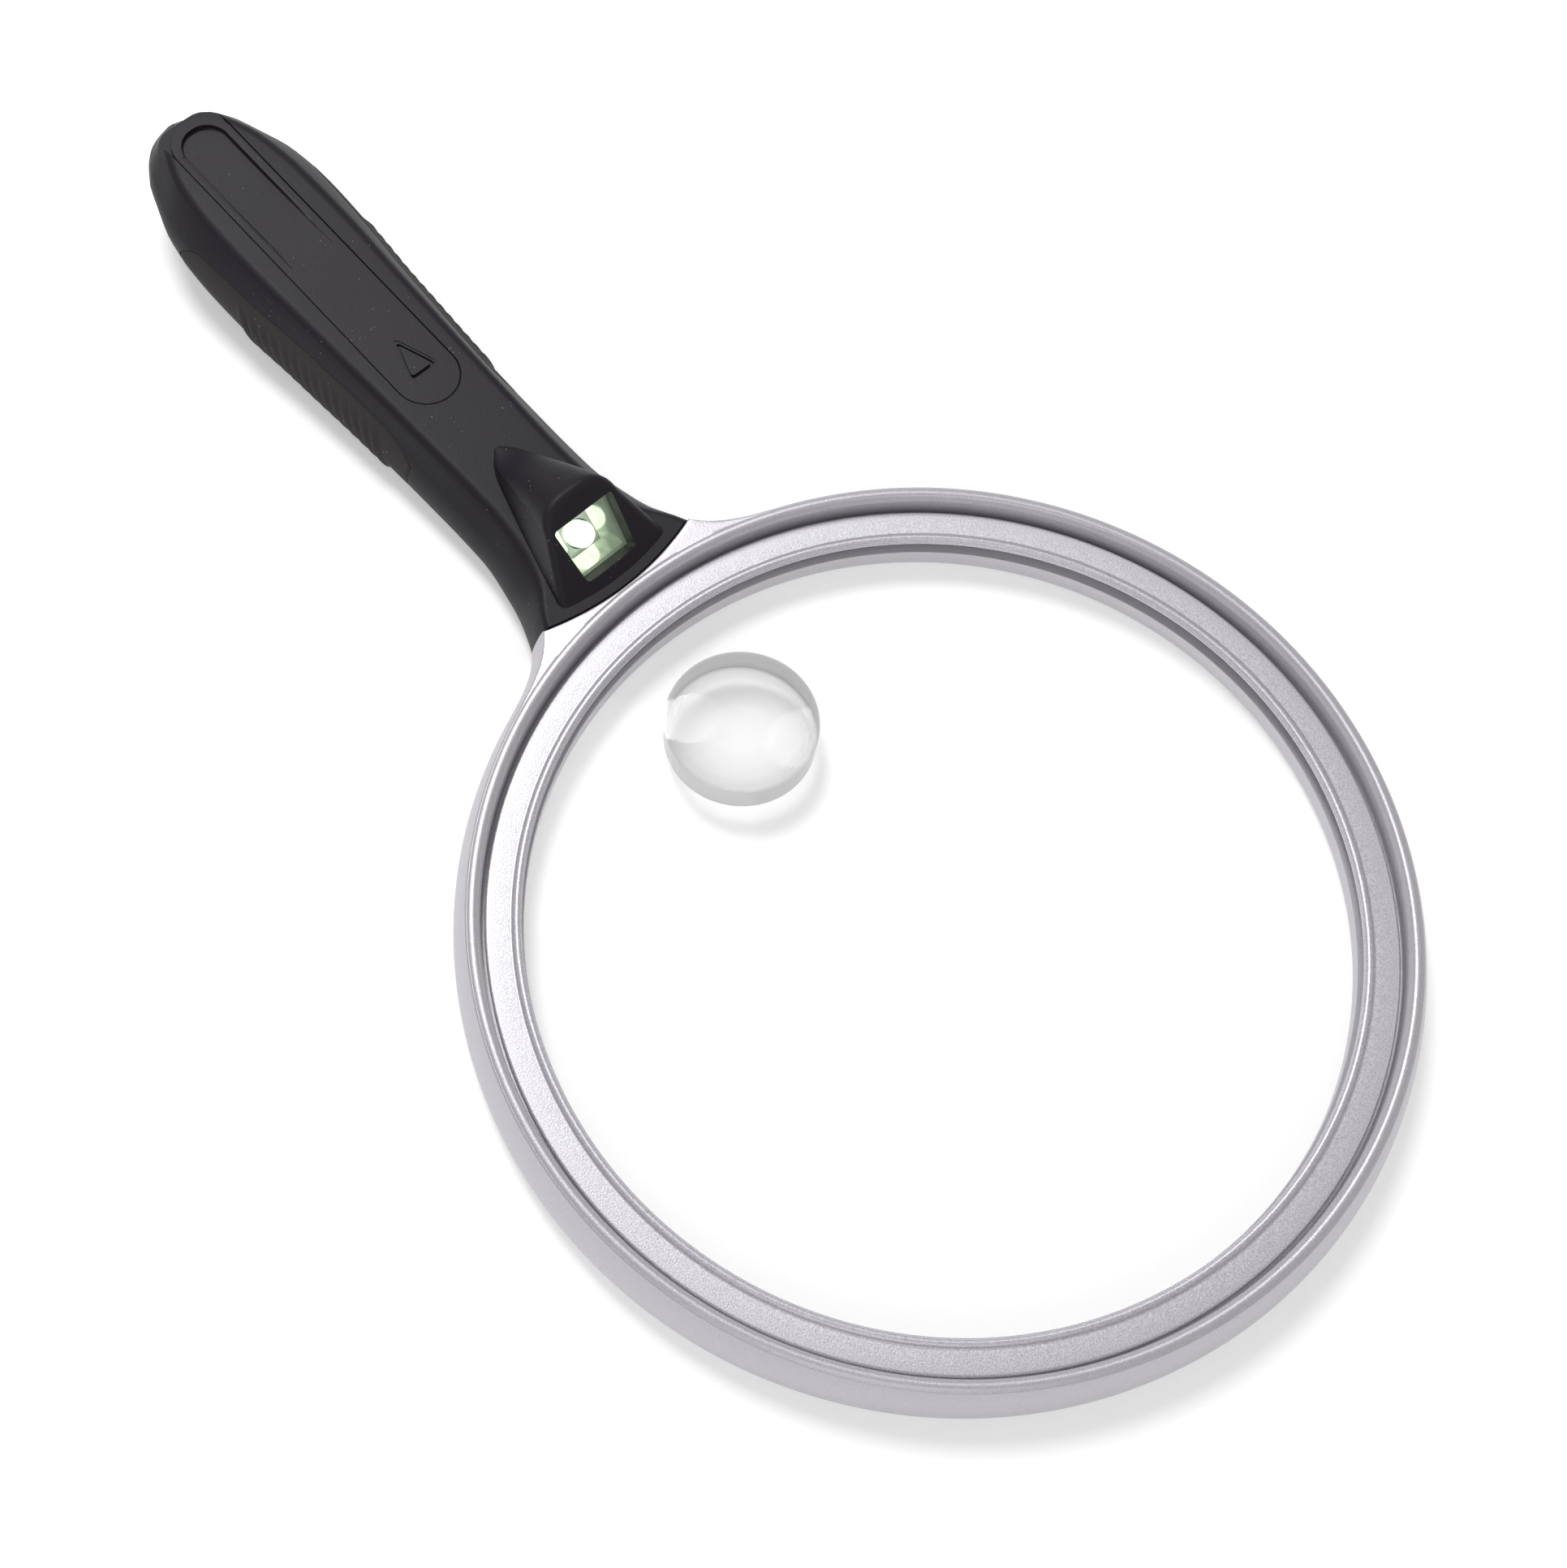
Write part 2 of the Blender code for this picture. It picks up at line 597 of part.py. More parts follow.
def screw_end(s):
    return {NECK_SCREWS[0][0]: 11.0, MID_SCREWS[0][0]: 12.3, BUTT_SCREW[0]: 16.0}[s]


def post_start(s):
    """Lower end of the top shell's screw posts: over the tang at the neck, else below the parting line."""
    return TANG_Z[1] + GAP if s < 100 else 0.0


def tang_slot():
    return box("tang_slot", (76.0, 90.0), (-12.6, 12.6), (TANG_Z[0] - GAP, TANG_Z[1] + GAP))


def build_handle_top(plastic):
    shell = cut(handle_half("handle_top", True), lens_side_of_join(GAP / 2))
    shell = join(shell, hood_solid())
    cavity = cavity_solid()
    cavity = cut(cavity, *screw_posts(post_start, lambda s: 30.0, 2.9))
    cavity = cut(cavity, *[cylinder("boss", 1.9, s, y, BOARD_Z + BOARD_T + GAP, 30.0, 12)
                           for s, y in BOARD_SCREWS])
    cavity = cut(cavity, box("keep_top", (70.0, 216.0), (-30.0, 30.0), (-10.0, 0.5)))
    chamber = prism("chamber", lamp_outline(0.6), -10.2, -RECESS, LAMP_FRAME)
    recess = prism("recess", lamp_outline(0.0), -RECESS - 0.5, 8.0, LAMP_FRAME)
    attic = loft("attic", [full_ring(s, [(0.0, along(HOOD_ROOF, s) - 2.2), (along(HOOD_EDGE, s) - 2.6,
                                         along(HOOD_ROOF, s) - 2.6), (along(HOOD_EDGE, s) - 2.0, 9.0),
                                         (0.0, 9.0)]) for s in (97.5, 101.0, 106.0)])
    shell = cut(shell, cavity, chamber, recess, attic, pocket(1), pocket(-1), tang_slot())
    far = 136.0
    lip = prism("lip", stadium(DOOR_START - GAP, 0, DOOR_W / 2 + GAP, open_end=far), -DOOR_T - 0.25, 8.0,
                TOP_FRAME)
    groove = prism("groove", stadium(DOOR_START + 2.6, 0, DOOR_FLANGE_W / 2 + GAP, open_end=far),
                   -DOOR_FLANGE_T - 0.25, -DOOR_T + 0.25, TOP_FRAME)
    well = box("well", (135.8, 191.6), (-5.6, 5.6), (8.0, 30.0))
    shell = cut(shell, lip, groove, well)
    holes = [cylinder("hole", SCREW_R + 0.1, s, y, 3.0, screw_end(s) + GAP, 14)
             for s, y in NECK_SCREWS + MID_SCREWS + (BUTT_SCREW,)]
    holes += [cylinder("hole", 0.95, s, y, 5.0, 11.2, 12) for s, y in BOARD_SCREWS]
    return finish(cut(shell, *holes), "handle_top", plastic, 28.0)


def build_handle_bottom(plastic):
    shell = cut(handle_half("handle_bottom", False), lens_side_of_join(GAP / 2))
    cavity = cavity_solid()
    pad = box("pad", (100.0, 124.5), (-6.5, 6.5), (-3.0, 2.7))
    posts = screw_posts(lambda s: -3.0, lambda s: TANG_Z[0] - GAP if s < 100 else 20.0, 3.6)
    cavity = cut(cavity, pad, *posts)
    shell = cut(shell, cavity, pocket(1), pocket(-1), tang_slot())
    low, high = SWITCH_S - 4.8, SWITCH_S + SWITCH_TRAVEL + 4.8
    window = prism("window", stadium(RING_X - high - 2.6, RING_X - low + 2.6, 4.2), -1.0, 1.45)
    slot = box("slot", (SWITCH_S - 2.7, SWITCH_S + SWITCH_TRAVEL + 2.7), (-1.9, 1.9), (0.5, 5.0))
    shell = cut(shell, window, slot)
    holes = []
    for s, y in NECK_SCREWS + MID_SCREWS + (BUTT_SCREW,):
        holes.append(cylinder("counterbore", SCREW_HEAD_R + 0.45, s, y, -2.0, screw_seat(s)))
        holes.append(cylinder("clearance", SCREW_R + 0.3, s, y, -1.0, 14.0, 14))
    return finish(cut(shell, *holes), "handle_bottom", plastic, 28.0)


def build_battery_door(plastic):
    plate = prism("battery_door", stadium(DOOR_START, DOOR_END, DOOR_W / 2), -DOOR_T, 0.0, TOP_FRAME)
    flange = prism("flange", stadium(DOOR_START + 3.0, DOOR_END - 2.0, DOOR_FLANGE_W / 2),
                   -DOOR_FLANGE_T, -DOOR_T + 0.01, TOP_FRAME)
    door = join(plate, flange)
    door = cut(door, tilted_trough(DOOR_END - 2.9, 4.4))
    mark = prism("mark", [(MARK_APEX, 0.0), (MARK_BASE, 2.2), (MARK_BASE, -2.2)], -0.4, 0.22, TOP_FRAME)
    door = finish(join(door, mark), "battery_door", plastic, 30.0)
    set_origin(door, TOP_FRAME @ (Vector((DOOR_START, 0, 0)) * MM))


def tilted_trough(end, half_width):
    """Thumb trough: no depth at its lens end, deepest at its rounded butt end."""
    start, depth = 86.0, 0.9
    outline = [(start, -half_width), (start, half_width)]
    outline += circle(half_width, 9, (end - half_width, 0.0), math.pi / 2, -math.pi)
    high = [TOP_FRAME @ (Vector((a, b, 3.0)) * MM) for a, b in outline]
    low = [TOP_FRAME @ (Vector((a, b, -depth * min(1.0, (a - start) / 18.0) + 0.02)) * MM)
           for a, b in outline]
    return loft("trough", [low, high])


# ---------------------------------------------------------------- lamp

def build_lamp(clear, mirror, lamp_glow, board):
    window = prism("lamp_window", lamp_outline(0.27), -RECESS - 1.05, -RECESS - 0.15, LAMP_FRAME)
    finish(window, "lamp_window", clear)
    reflector = prism("lamp_reflector", lamp_outline(0.27), -8.3, -4.45, LAMP_FRAME)
    floor_half = 3.4
    floor = [(-floor_half, -floor_half), (floor_half, -floor_half), (floor_half, floor_half),
             (-floor_half, floor_half)]
    bowl = prism("bowl", floor, -7.5, -4.2, LAMP_FRAME, lamp_outline(-0.25))
    hole = prism("hole", circle(2.8, 16), -9.0, -7.0, LAMP_FRAME)
    finish(cut(reflector, bowl, hole), "lamp_reflector", mirror)
    rings = []
    for radius, depth in ((2.5, -8.25), (2.5, -6.1), (2.3, -5.3), (1.75, -4.75), (0.9, -4.45)):
        rings.append([LAMP_FRAME @ (Vector((a, b, depth)) * MM) for a, b in circle(radius, 16)])
    finish(loft("lamp_led", rings), "lamp_led", lamp_glow, 50.0)
    plate = prism("lamp_board", lamp_outline(0.1), -9.65, -8.6, LAMP_FRAME)
    finish(plate, "lamp_board", board)


# ---------------------------------------------------------------- driver and switch

def build_driver(board, dark, copper, steel):
    plate = box("driver_board", BOARD_S, (-BOARD_Y, BOARD_Y), (BOARD_Z, BOARD_Z + BOARD_T))
    holes = [cylinder("hole", 1.1, s, y, 0.0, 20.0, 12) for s, y in BOARD_SCREWS]
    finish(cut(plate, *holes), "driver_board", board)
    top = BOARD_Z + BOARD_T + GAP
    finish(cylinder("driver_coil", 2.9, 110.5, -2.0, top, top + 2.6, 20), "driver_coil", copper)
    finish(cylinder("driver_capacitor", 1.9, 118.0, 4.2, top, top + 2.7, 16), "driver_capacitor", steel)
    finish(box("driver_chip", (116.5, 121.5), (-5.2, -1.2), (top, top + 1.4)), "driver_chip", dark)
    for i, (s, y) in enumerate(BOARD_SCREWS):
        head = cylinder("driver_screw", 1.7, s, y, BOARD_Z - 1.3, BOARD_Z - GAP, 14)
        shank = cylinder("shank", 0.8, s, y, BOARD_Z - 0.6, 10.8, 10)
        finish(join(head, shank), "driver_screw_%d" % (i + 1), steel)


def build_switch(dark, plastic, steel):
    middle = SWITCH_S + SWITCH_TRAVEL / 2
    body = box("switch_body", (middle - 4.6, middle + 4.6), (-2.3, 2.3), (3.2, BOARD_Z - GAP))
    slot = box("slot", (SWITCH_S - 1.4, SWITCH_S + SWITCH_TRAVEL + 1.4), (-1.0, 1.0), (3.0, 4.6))
    finish(cut(body, slot), "switch_body", steel)
    lever = box("switch_lever", (SWITCH_S - 1.1, SWITCH_S + 1.1), (-0.7, 0.7), (1.9, 4.3))
    finish(lever, "switch_lever", dark)
    set_origin(lever, point(SWITCH_S, 0, 1.9))
    x = RING_X - SWITCH_S
    knob = prism("switch_knob", stadium(x - 4.6, x + 4.6, 3.2, 7), 0.35, 1.15)
    stem = box("stem", (SWITCH_S - 2.3, SWITCH_S + 2.3), (-1.6, 1.6), (1.0, 2.8))
    socket = box("socket", (SWITCH_S - 1.4, SWITCH_S + 1.4), (-1.0, 1.0), (1.6, 4.0))
    grooves = [box("groove", (SWITCH_S + a - 0.35, SWITCH_S + a + 0.35), (-2.4, 2.4), (0.0, 0.65))
               for a in (-2.4, -0.8, 0.8, 2.4)]
    knob = cut(join(knob, stem), socket, *grooves)
    finish(knob, "switch_knob", plastic)
    set_origin(knob, point(SWITCH_S, 0, 0.35))


# ---------------------------------------------------------------- battery compartment

def build_battery(plastic, jacket, steel):
    half, inner, wall, rim = 6.4, CELL_R + GAP, 1.2, 1.9
    outer_outline = [(half, rim), (-half, rim), (-half, -2.6), (-4.6, -6.2), (4.6, -6.2), (half, -2.6)]
    channel = circle(inner, 13, (0.0, 0.0), math.pi, math.pi) + [(inner, 9.0), (-inner, 9.0)]
    tray = prism("battery_tray", outer_outline, 0.0, TRAY_L, CELL_FRAME)
    tray = cut(tray, prism("channel", channel, wall, TRAY_L - wall, CELL_FRAME))
    finish(tray, "battery_tray", plastic)

    cell_start = 3.2
    cell = prism("battery_cell", circle(CELL_R, 28), cell_start + 0.9, cell_start + CELL_L, CELL_FRAME)
    nub = prism("nub", circle(1.9, 16), cell_start, cell_start + 1.2, CELL_FRAME)
    finish(join(cell, nub), "battery_cell", jacket)

    plate = [(-3.7, -3.6), (3.7, -3.6), (3.7, 2.0), (1.6, 2.0), (1.6, 2.9), (-1.6, 2.9), (-1.6, 2.0),
             (-3.7, 2.0)]
    positive = prism("contact_positive", plate, wall + GAP, wall + GAP + 0.4, CELL_FRAME)
    bump = prism("bump", circle(1.6, 12), wall + GAP + 0.2, cell_start - GAP, CELL_FRAME, circle(1.1, 12))
    finish(join(positive, bump), "contact_positive", steel)
    last = TRAY_L - wall - GAP
    negative = prism("contact_negative", plate, last - 0.4, last, CELL_FRAME)
    finish(negative, "contact_negative", steel)

    low, high = cell_start + CELL_L + GAP + 0.35, last - 0.4 - GAP - 0.35
    turns, per_turn, wide, narrow = 4, 12, 2.7, 3.9
    path = []
    for i in range(turns * per_turn + 1):
        part = i / (turns * per_turn)
        radius = wide + (narrow - wide) * part
        angle = 2 * math.pi * i / per_turn
        path.append(from_cell(low + (high - low) * part, radius * math.cos(angle), radius * math.sin(angle)))
    tube("contact_spring", path, 0.32, steel)


def build_wires(red, black):
    height = BOARD_Z + BOARD_T + GAP + 0.55
    end = BOARD_S[1] - 1.2
    up = 3.75
    positive = [from_cell(1.7, 0.0, up), from_cell(-2.0, 0.4, up - 0.1), point(130.5, 1.5, 10.6),
                point(end, 2.0, height)]
    tube("wire_battery_positive", eased(positive, 4), 0.5, red)
    last = TRAY_L - 1.7
    negative = [from_cell(last, 0.0, up), from_cell(last - 1.0, -4.9, up), from_cell(last - 4.5, -8.0, 1.9),
                from_cell(last - 12.0, -7.9, -0.8), from_cell(last - 26.0, -7.9, -1.0),
                from_cell(last - 42.0, -7.7, -0.6), from_cell(1.0, -7.4, 0.2), point(131.5, -4.8, 9.6),
                point(end + 1.0, -3.2, height + 0.3), point(end - 0.4, -2.4, height)]
    tube("wire_battery_negative", eased(negative, 4), 0.5, black)
    back = -9.65 - GAP - 0.5
    for name, side, colour in (("wire_lamp_positive", 1, red), ("wire_lamp_negative", -1, black)):
        start = LAMP_FRAME @ (Vector((2.6 * side, -1.6, back)) * MM)
        bend = LAMP_FRAME @ (Vector((2.8 * side, -1.4, back - 1.2)) * MM)
        path = [start, bend, point(BOARD_S[0] - 0.8, 3.2 * side, height + 0.9),
                point(BOARD_S[0] + 1.4, 3.4 * side, height)]
        tube(name, eased(path, 3), 0.5, colour)


def build_screws(steel):
    names = ("neck_screw_1", "neck_screw_2", "handle_screw_1", "handle_screw_2", "butt_screw")
    for name, (s, y) in zip(names, NECK_SCREWS + MID_SCREWS + (BUTT_SCREW,)):
        seat = screw_seat(s) - GAP / 2
        head = cylinder(name, SCREW_HEAD_R, s, y, seat - SCREW_HEAD_T, seat, 18)
        shank = cylinder("shank", SCREW_R, s, y, seat - 0.4, screw_end(s), 12)
        drive = [box("drive", (s - a, s + a), (y - b, y + b), (-3.0, seat - SCREW_HEAD_T + 0.6))
                 for a, b in ((1.3, 0.3), (0.3, 1.3))]
        finish(cut(join(head, shank), *drive), name, steel)


def main():
    clear_scene()
    silver = material("silver_paint", (0.62, 0.60, 0.64), 0.38, 0.7)
    soft_black = material("soft_black", (0.035, 0.032, 0.036), 0.55)
    rubber = material("grip_rubber", (0.060, 0.055, 0.053), 0.8)
    glass = material("lens_glass", (0.93, 0.95, 0.95), 0.02, alpha=0.2)
    clear = material("lamp_clear", (0.85, 0.92, 0.85), 0.05, alpha=0.35)
    mirror = material("reflector_mirror", (0.88, 0.90, 0.86), 0.08, 1.0)
    lamp_glow = material("lamp_glow", (0.92, 1.0, 0.86), 0.2, glow=6.0)
    board = material("board_green", (0.03, 0.16, 0.07), 0.45)
    dark = material("dark_epoxy", (0.02, 0.02, 0.022), 0.5)
    copper = material("coil_copper", (0.55, 0.24, 0.11), 0.35, 0.8)
    steel = material("plated_steel", (0.62, 0.62, 0.60), 0.3, 1.0)
    jacket = material("cell_jacket", (0.30, 0.31, 0.33), 0.35, 0.4)
    red = material("wire_red", (0.45, 0.03, 0.02), 0.45)
    black = material("wire_black", (0.02, 0.02, 0.02), 0.45)

    build_ring_frame(silver)
    build_retaining_ring(silver)
    build_main_lens(glass)
    build_spot_lens(glass)
    build_handle_top(soft_black)
    build_handle_bottom(soft_black)
    build_battery_door(soft_black)
    build_grip(-1, "grip_left", rubber)
    build_grip(1, "grip_right", rubber)
    build_lamp(clear, mirror, lamp_glow, board)
    build_driver(board, dark, copper, steel)
    build_switch(dark, soft_black, steel)
    build_battery(dark, jacket, steel)
    build_wires(red, black)
    build_screws(steel)


main()
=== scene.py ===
"""Looks of the lighted hand magnifier: detailed pieces, materials, light and camera round the CAD frame.

Metres, same frame as the CAD. Lengths in the shape functions are millimetres; MM turns them into metres.
S is the distance from the ring's centre towards the butt of the handle: x = RING_X - S.
"""
import math

import bmesh
import bpy
from mathutils import Matrix, Vector


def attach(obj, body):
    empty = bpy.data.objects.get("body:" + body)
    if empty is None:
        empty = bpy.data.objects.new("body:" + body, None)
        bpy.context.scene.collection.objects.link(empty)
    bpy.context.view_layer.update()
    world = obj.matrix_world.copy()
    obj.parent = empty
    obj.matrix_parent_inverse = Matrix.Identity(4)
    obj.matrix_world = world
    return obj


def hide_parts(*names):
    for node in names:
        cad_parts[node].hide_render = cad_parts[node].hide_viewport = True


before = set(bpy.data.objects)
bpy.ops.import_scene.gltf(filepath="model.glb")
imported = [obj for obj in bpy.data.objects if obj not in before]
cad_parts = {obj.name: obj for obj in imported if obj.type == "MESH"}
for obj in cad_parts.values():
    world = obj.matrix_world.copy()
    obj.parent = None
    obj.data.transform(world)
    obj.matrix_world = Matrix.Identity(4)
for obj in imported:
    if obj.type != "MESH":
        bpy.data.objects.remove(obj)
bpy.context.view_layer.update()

MM = 0.001
SEAM = 0.12                    # width of the seams between touching pieces

# Ring
WALL_R, RING_H, OPENING_R = 82.7, 12.5, 71.0
GROOVE_R, SEAT_R, LENS_R = 78.0, 73.8, 73.5
LENS_Z, LENS_EDGE, LENS_CURVE = 6.4, 1.4, 480.0
SPOT_S, SPOT_Y, SPOT_R, SPOT_CURVE = 48.6, -2.0, 13.5, 62.0
SPOT_CREST = 4.3               # half the thickness of the spot lens in its middle
FLAT_R = 80.6                  # outer foot of the rim's bead
NECK_TOP = 12.2

# Handle
BUTT_S = 208.2
RING_X = (BUTT_S - WALL_R) / 2.0
JOIN_S, JOIN_SAG, JOIN_Y = 80.6, 2.4, 16.0
TOP_S, TOP_Z, TOP_RISE = 82.0, 12.4, 0.07
TILT = math.atan(TOP_RISE)
SHELL, FLOOR = 1.9, 1.6
DOOR_START, DOOR_END, DOOR_W, DOOR_FLANGE_W = 46.3, 121.0, 12.4, 14.2
DOOR_T, DOOR_FLANGE_T = 1.2, 2.2
LAMP_S, LAMP_Z, RECESS = 87.95, 18.3, 3.1
LAMP_TOP, LAMP_BOTTOM, LAMP_HALF = 6.6, 5.6, 5.55
TANG_Z = (3.6, 6.6)
BOARD_Z, BOARD_T = 7.0, 1.2
NECK_SCREWS = ((91.5, 10.0), (91.5, -10.0))
MID_SCREWS = ((131.0, 8.4), (131.0, -8.4))
BUTT_SCREW = (196.0, 0.0)
HANDLE_SCREWS = NECK_SCREWS + MID_SCREWS + (BUTT_SCREW,)
SEAT_DEPTH, BUTT_SEAT_DEPTH = 2.3, 3.8
NORMAL_REACH = 3.0             # height over which a grip follows the slope of the side
BOARD_SCREWS = ((104.0, 5.5), (124.0, -5.5))
SWITCH_S, SWITCH_TRAVEL = 112.0, 3.0
SCREW_R, SCREW_HEAD_R = 1.15, 2.2

WIDTH = ((80, 21.0), (82, 20.2), (84.5, 18.8), (88.2, 17.2), (91.3, 16.1), (94.5, 15.3), (104.7, 13.6),
         (113, 13.45), (120, 13.5), (128, 13.6), (139, 13.95), (149, 14.45), (157, 14.85), (165, 15.5),
         (172, 15.9), (178, 16.0), (184, 15.8), (187.5, 15.4), (191, 14.7), (194, 13.6), (197.5, 12.2),
         (200, 11.2), (202, 9.9), (204, 8.5), (205.5, 7.1), (206.8, 5.4), (207.7, 3.6), (BUTT_S, 1.4))
FLAT = ((80, 17.0), (84.5, 15.2), (91, 11.4), (98, 9.6), (108, 8.8), (125, 9.2), (150, 9.9), (170, 10.5),
        (182, 10.3), (192, 9.2), (197, 7.6), (200, 6.0), (203, 4.4), (205, 3.3), (207, 2.0), (BUTT_S, 0.6))
SHOULDER = ((80, 0.86), (84.5, 0.86), (88, 0.845), (91, 0.83), (98, 0.81), (125, 0.80), (145, 0.825),
            (165, 0.845), (185, 0.865), (204, 0.86), (BUTT_S, 0.85))
BEVEL_DROP = ((80, 0.5), (84.5, 0.6), (92, 2.2), (105, 3.2), (125, 3.4), (180, 4.0), (198, 4.4),
              (203, 4.2), (206, 1.4), (BUTT_S, 0.3))
EQUATOR = ((80, 3.9), (100, 4.4), (112, 4.8), (125, 5.2), (150, 6.3), (165, 7.2), (172, 8.2), (180, 9.4),
           (187, 10.6), (194, 11.9), (200, 12.6), (BUTT_S, 12.7))
BOTTOM = ((80, 0.0), (150, 0.0), (165, 0.4), (178, 1.3), (188, 2.9), (192, 3.7), (196, 5.2), (200, 7.0),
          (204, 9.2), (206.5, 10.6), (BUTT_S, 11.6))
SIDE_LOW = ((84, 0.975), (104, 0.90), (130, 0.885))   # share of the width low on the side
FOOT = ((84, 0.90), (104, 0.78), (130, 0.74))         # share of the width at the floor's edge
NOSE = ((201.5, 20.765), (203, 20.3), (204.1, 19.1), (205.4, 17.2), (206.6, 15.7), (207.6, 14.7),
        (BUTT_S, 14.3))
WALL = ((80, SHELL), (112, SHELL), (122, 3.4), (188, 3.4), (196, 2.2), (BUTT_S, 2.0))
ROOF = ((80, 2.0), (120, 2.0), (126, 3.5), (BUTT_S, 3.5))
GRIP_TOP = ((124.6, 9.4), (128, 11.2), (134, 12.4), (145, 13.1), (165, 14.0), (181, 14.7), (184.4, 13.6),
            (186.2, 11.4))
GRIP_LOW = ((124.6, 4.6), (128, 3.0), (134, 2.3), (165, 2.6), (181, 4.2), (184.4, 5.6), (186.2, 8.0))
RING_WALL = ((80.4, 0.0), (81.3, 0.25), (81.9, 0.9), (82.35, 1.8), (82.6, 2.8), (WALL_R, 4.0), (82.6, 5.3),
             (82.35, 6.7), (81.95, 8.2), (81.5, 9.6), (81.05, 10.8), (80.6, 11.7))
FLARE = ((97.0, 14.5), (95.0, 14.9), (91.3, 16.1), (88.2, 17.0), (84.6, 18.8), (82.9, 20.2), (81.4, 21.9),
         (80.0, 24.0), (78.4, 27.0), (76.6, 31.1), (73.5, 37.6))
HOOD_FOOT = ((78, 14.2), (84, 12.5), (98, 8.4), (108, 5.4), (112, 4.3), (113.5, 3.2), (115.2, 1.0))
HOOD_EDGE = ((78, 10.6), (84, 9.4), (90, 8.1), (95, 7.0), (100, 5.7), (106, 4.2), (112, 2.6), (115.2, 0.5))
HOOD_ROOF = ((78, 29.5), (84, 28.2), (90, 26.9), (95, 25.4), (100, 23.0), (106, 19.4), (112, 15.6),
             (115.2, 14.85))
FRONT_C, FRONT_BOW = 69.9, 0.0098   # the hood's front face: s - z = FRONT_C + FRONT_BOW * y * y
HOOD_SPRING = 0.35             # share of a section's turn that lies below the hood's spring line
FLARE_ANGLE, JOIN_ANGLE = 0.56, 0.45   # how far round from the handle the flare and the joint reach


# ---------------------------------------------------------------- camera, first in the making

def place_camera():
    camera = bpy.data.objects.new("camera", bpy.data.cameras.new("camera"))
    bpy.context.scene.collection.objects.link(camera)
    right = Vector((0.68609, 0.72369, 0.07453))
    up = Vector((-0.68407, 0.60685, 0.40469))
    back = right.cross(up).normalized()
    up = back.cross(right).normalized()
    matrix = Matrix((right.normalized(), up, back)).transposed().to_4x4()
    matrix.translation = Vector((RING_X + 67.71, -141.44, 388.31)) * MM
    camera.matrix_world = matrix
    camera.data.sensor_fit = "HORIZONTAL"
    camera.data.sensor_width = 36.0
    camera.data.lens = 55.93
    camera.data.clip_start = 0.01
    bpy.context.scene.camera = camera


# ---------------------------------------------------------------- numbers and places

def along(knots, s):
    """Value at s of a smooth curve through the knots that never overshoots them."""
    if s <= knots[0][0]:
        return knots[0][1]
    if s >= knots[-1][0]:
        return knots[-1][1]
    steps = [(b[1] - a[1]) / (b[0] - a[0]) for a, b in zip(knots, knots[1:])]
    slopes = [steps[0]]
    for left, right in zip(steps, steps[1:]):
        slopes.append(0.0 if left * right <= 0 else 2.0 * left * right / (left + right))
    slopes.append(steps[-1])
    index = max(i for i, knot in enumerate(knots[:-1]) if knot[0] <= s)
    (s0, v0), (s1, v1) = knots[index], knots[index + 1]
    span = s1 - s0
    t = (s - s0) / span
    return ((1 + 2 * t) * (1 - t) ** 2 * v0 + t * (1 - t) ** 2 * span * slopes[index]
            + t * t * (3 - 2 * t) * v1 + t * t * (t - 1) * span * slopes[index + 1])


def smooth(low, high, value):
    t = min(1.0, max(0.0, (value - low) / (high - low)))
    return t * t * (3 - 2 * t)


def point(s, y, z):
    return Vector(((RING_X - s) * MM, y * MM, z * MM))


def top_height(s):
    if s <= NOSE[0][0]:
        return TOP_Z + TOP_RISE * (s - TOP_S)
    return along(NOSE, s)


def frame_matrix(origin, first, second, third):
    matrix = Matrix((first, second, third)).transposed().to_4x4()
    matrix.translation = origin
    return matrix


UP_SLOPE = Vector((-math.cos(TILT), 0.0, math.sin(TILT)))
OFF_SLOPE = Vector((math.sin(TILT), 0.0, math.cos(TILT)))
TOP_FRAME = frame_matrix(point(TOP_S, 0, TOP_Z), UP_SLOPE, Vector((0, -1, 0)), OFF_SLOPE)
HALF_ROOT = math.sqrt(0.5)
LAMP_FRAME = frame_matrix(point(LAMP_S, 0, LAMP_Z), Vector((0, 1, 0)), Vector((-HALF_ROOT, 0, HALF_ROOT)),
                          Vector((HALF_ROOT, 0, HALF_ROOT)))
WORLD = Matrix.Identity(4)


# ---------------------------------------------------------------- making solids

def solid(name, points, faces):
    mesh = bpy.data.meshes.new(name)
    mesh.from_pydata([tuple(p) for p in points], [], faces)
    item = bpy.data.objects.new(name, mesh)
    bpy.context.scene.collection.objects.link(item)
    work = bmesh.new()
    work.from_mesh(mesh)
    bmesh.ops.remove_doubles(work, verts=work.verts, dist=1e-7)
    bmesh.ops.recalc_face_normals(work, faces=work.faces)
    work.to_mesh(mesh)
    work.free()
    return item


def loft(name, rings, caps=(True, True)):
    """Skin through closed rings of points, capped at its ends."""
    count = len(rings[0])
    points = [p for ring in rings for p in ring]
    faces = [tuple(reversed(range(count)))] if caps[0] else []
    for r in range(len(rings) - 1):
        low, high = r * count, (r + 1) * count
        faces += [(low + i, low + (i + 1) % count, high + (i + 1) % count, high + i) for i in range(count)]
    if caps[1]:
        faces.append(tuple(range(len(points) - count, len(points))))
    return solid(name, points, faces)


def layers(name, outlines, place=WORLD):
    """Outlines with equal counts at rising heights in a frame's third axis, skinned."""
    return loft(name, [[place @ (Vector((a, b, height)) * MM) for a, b in outline]
                       for outline, height in outlines])


def prism(name, outline, low, high, place=WORLD):
    return layers(name, [(outline, low), (outline, high)], place)


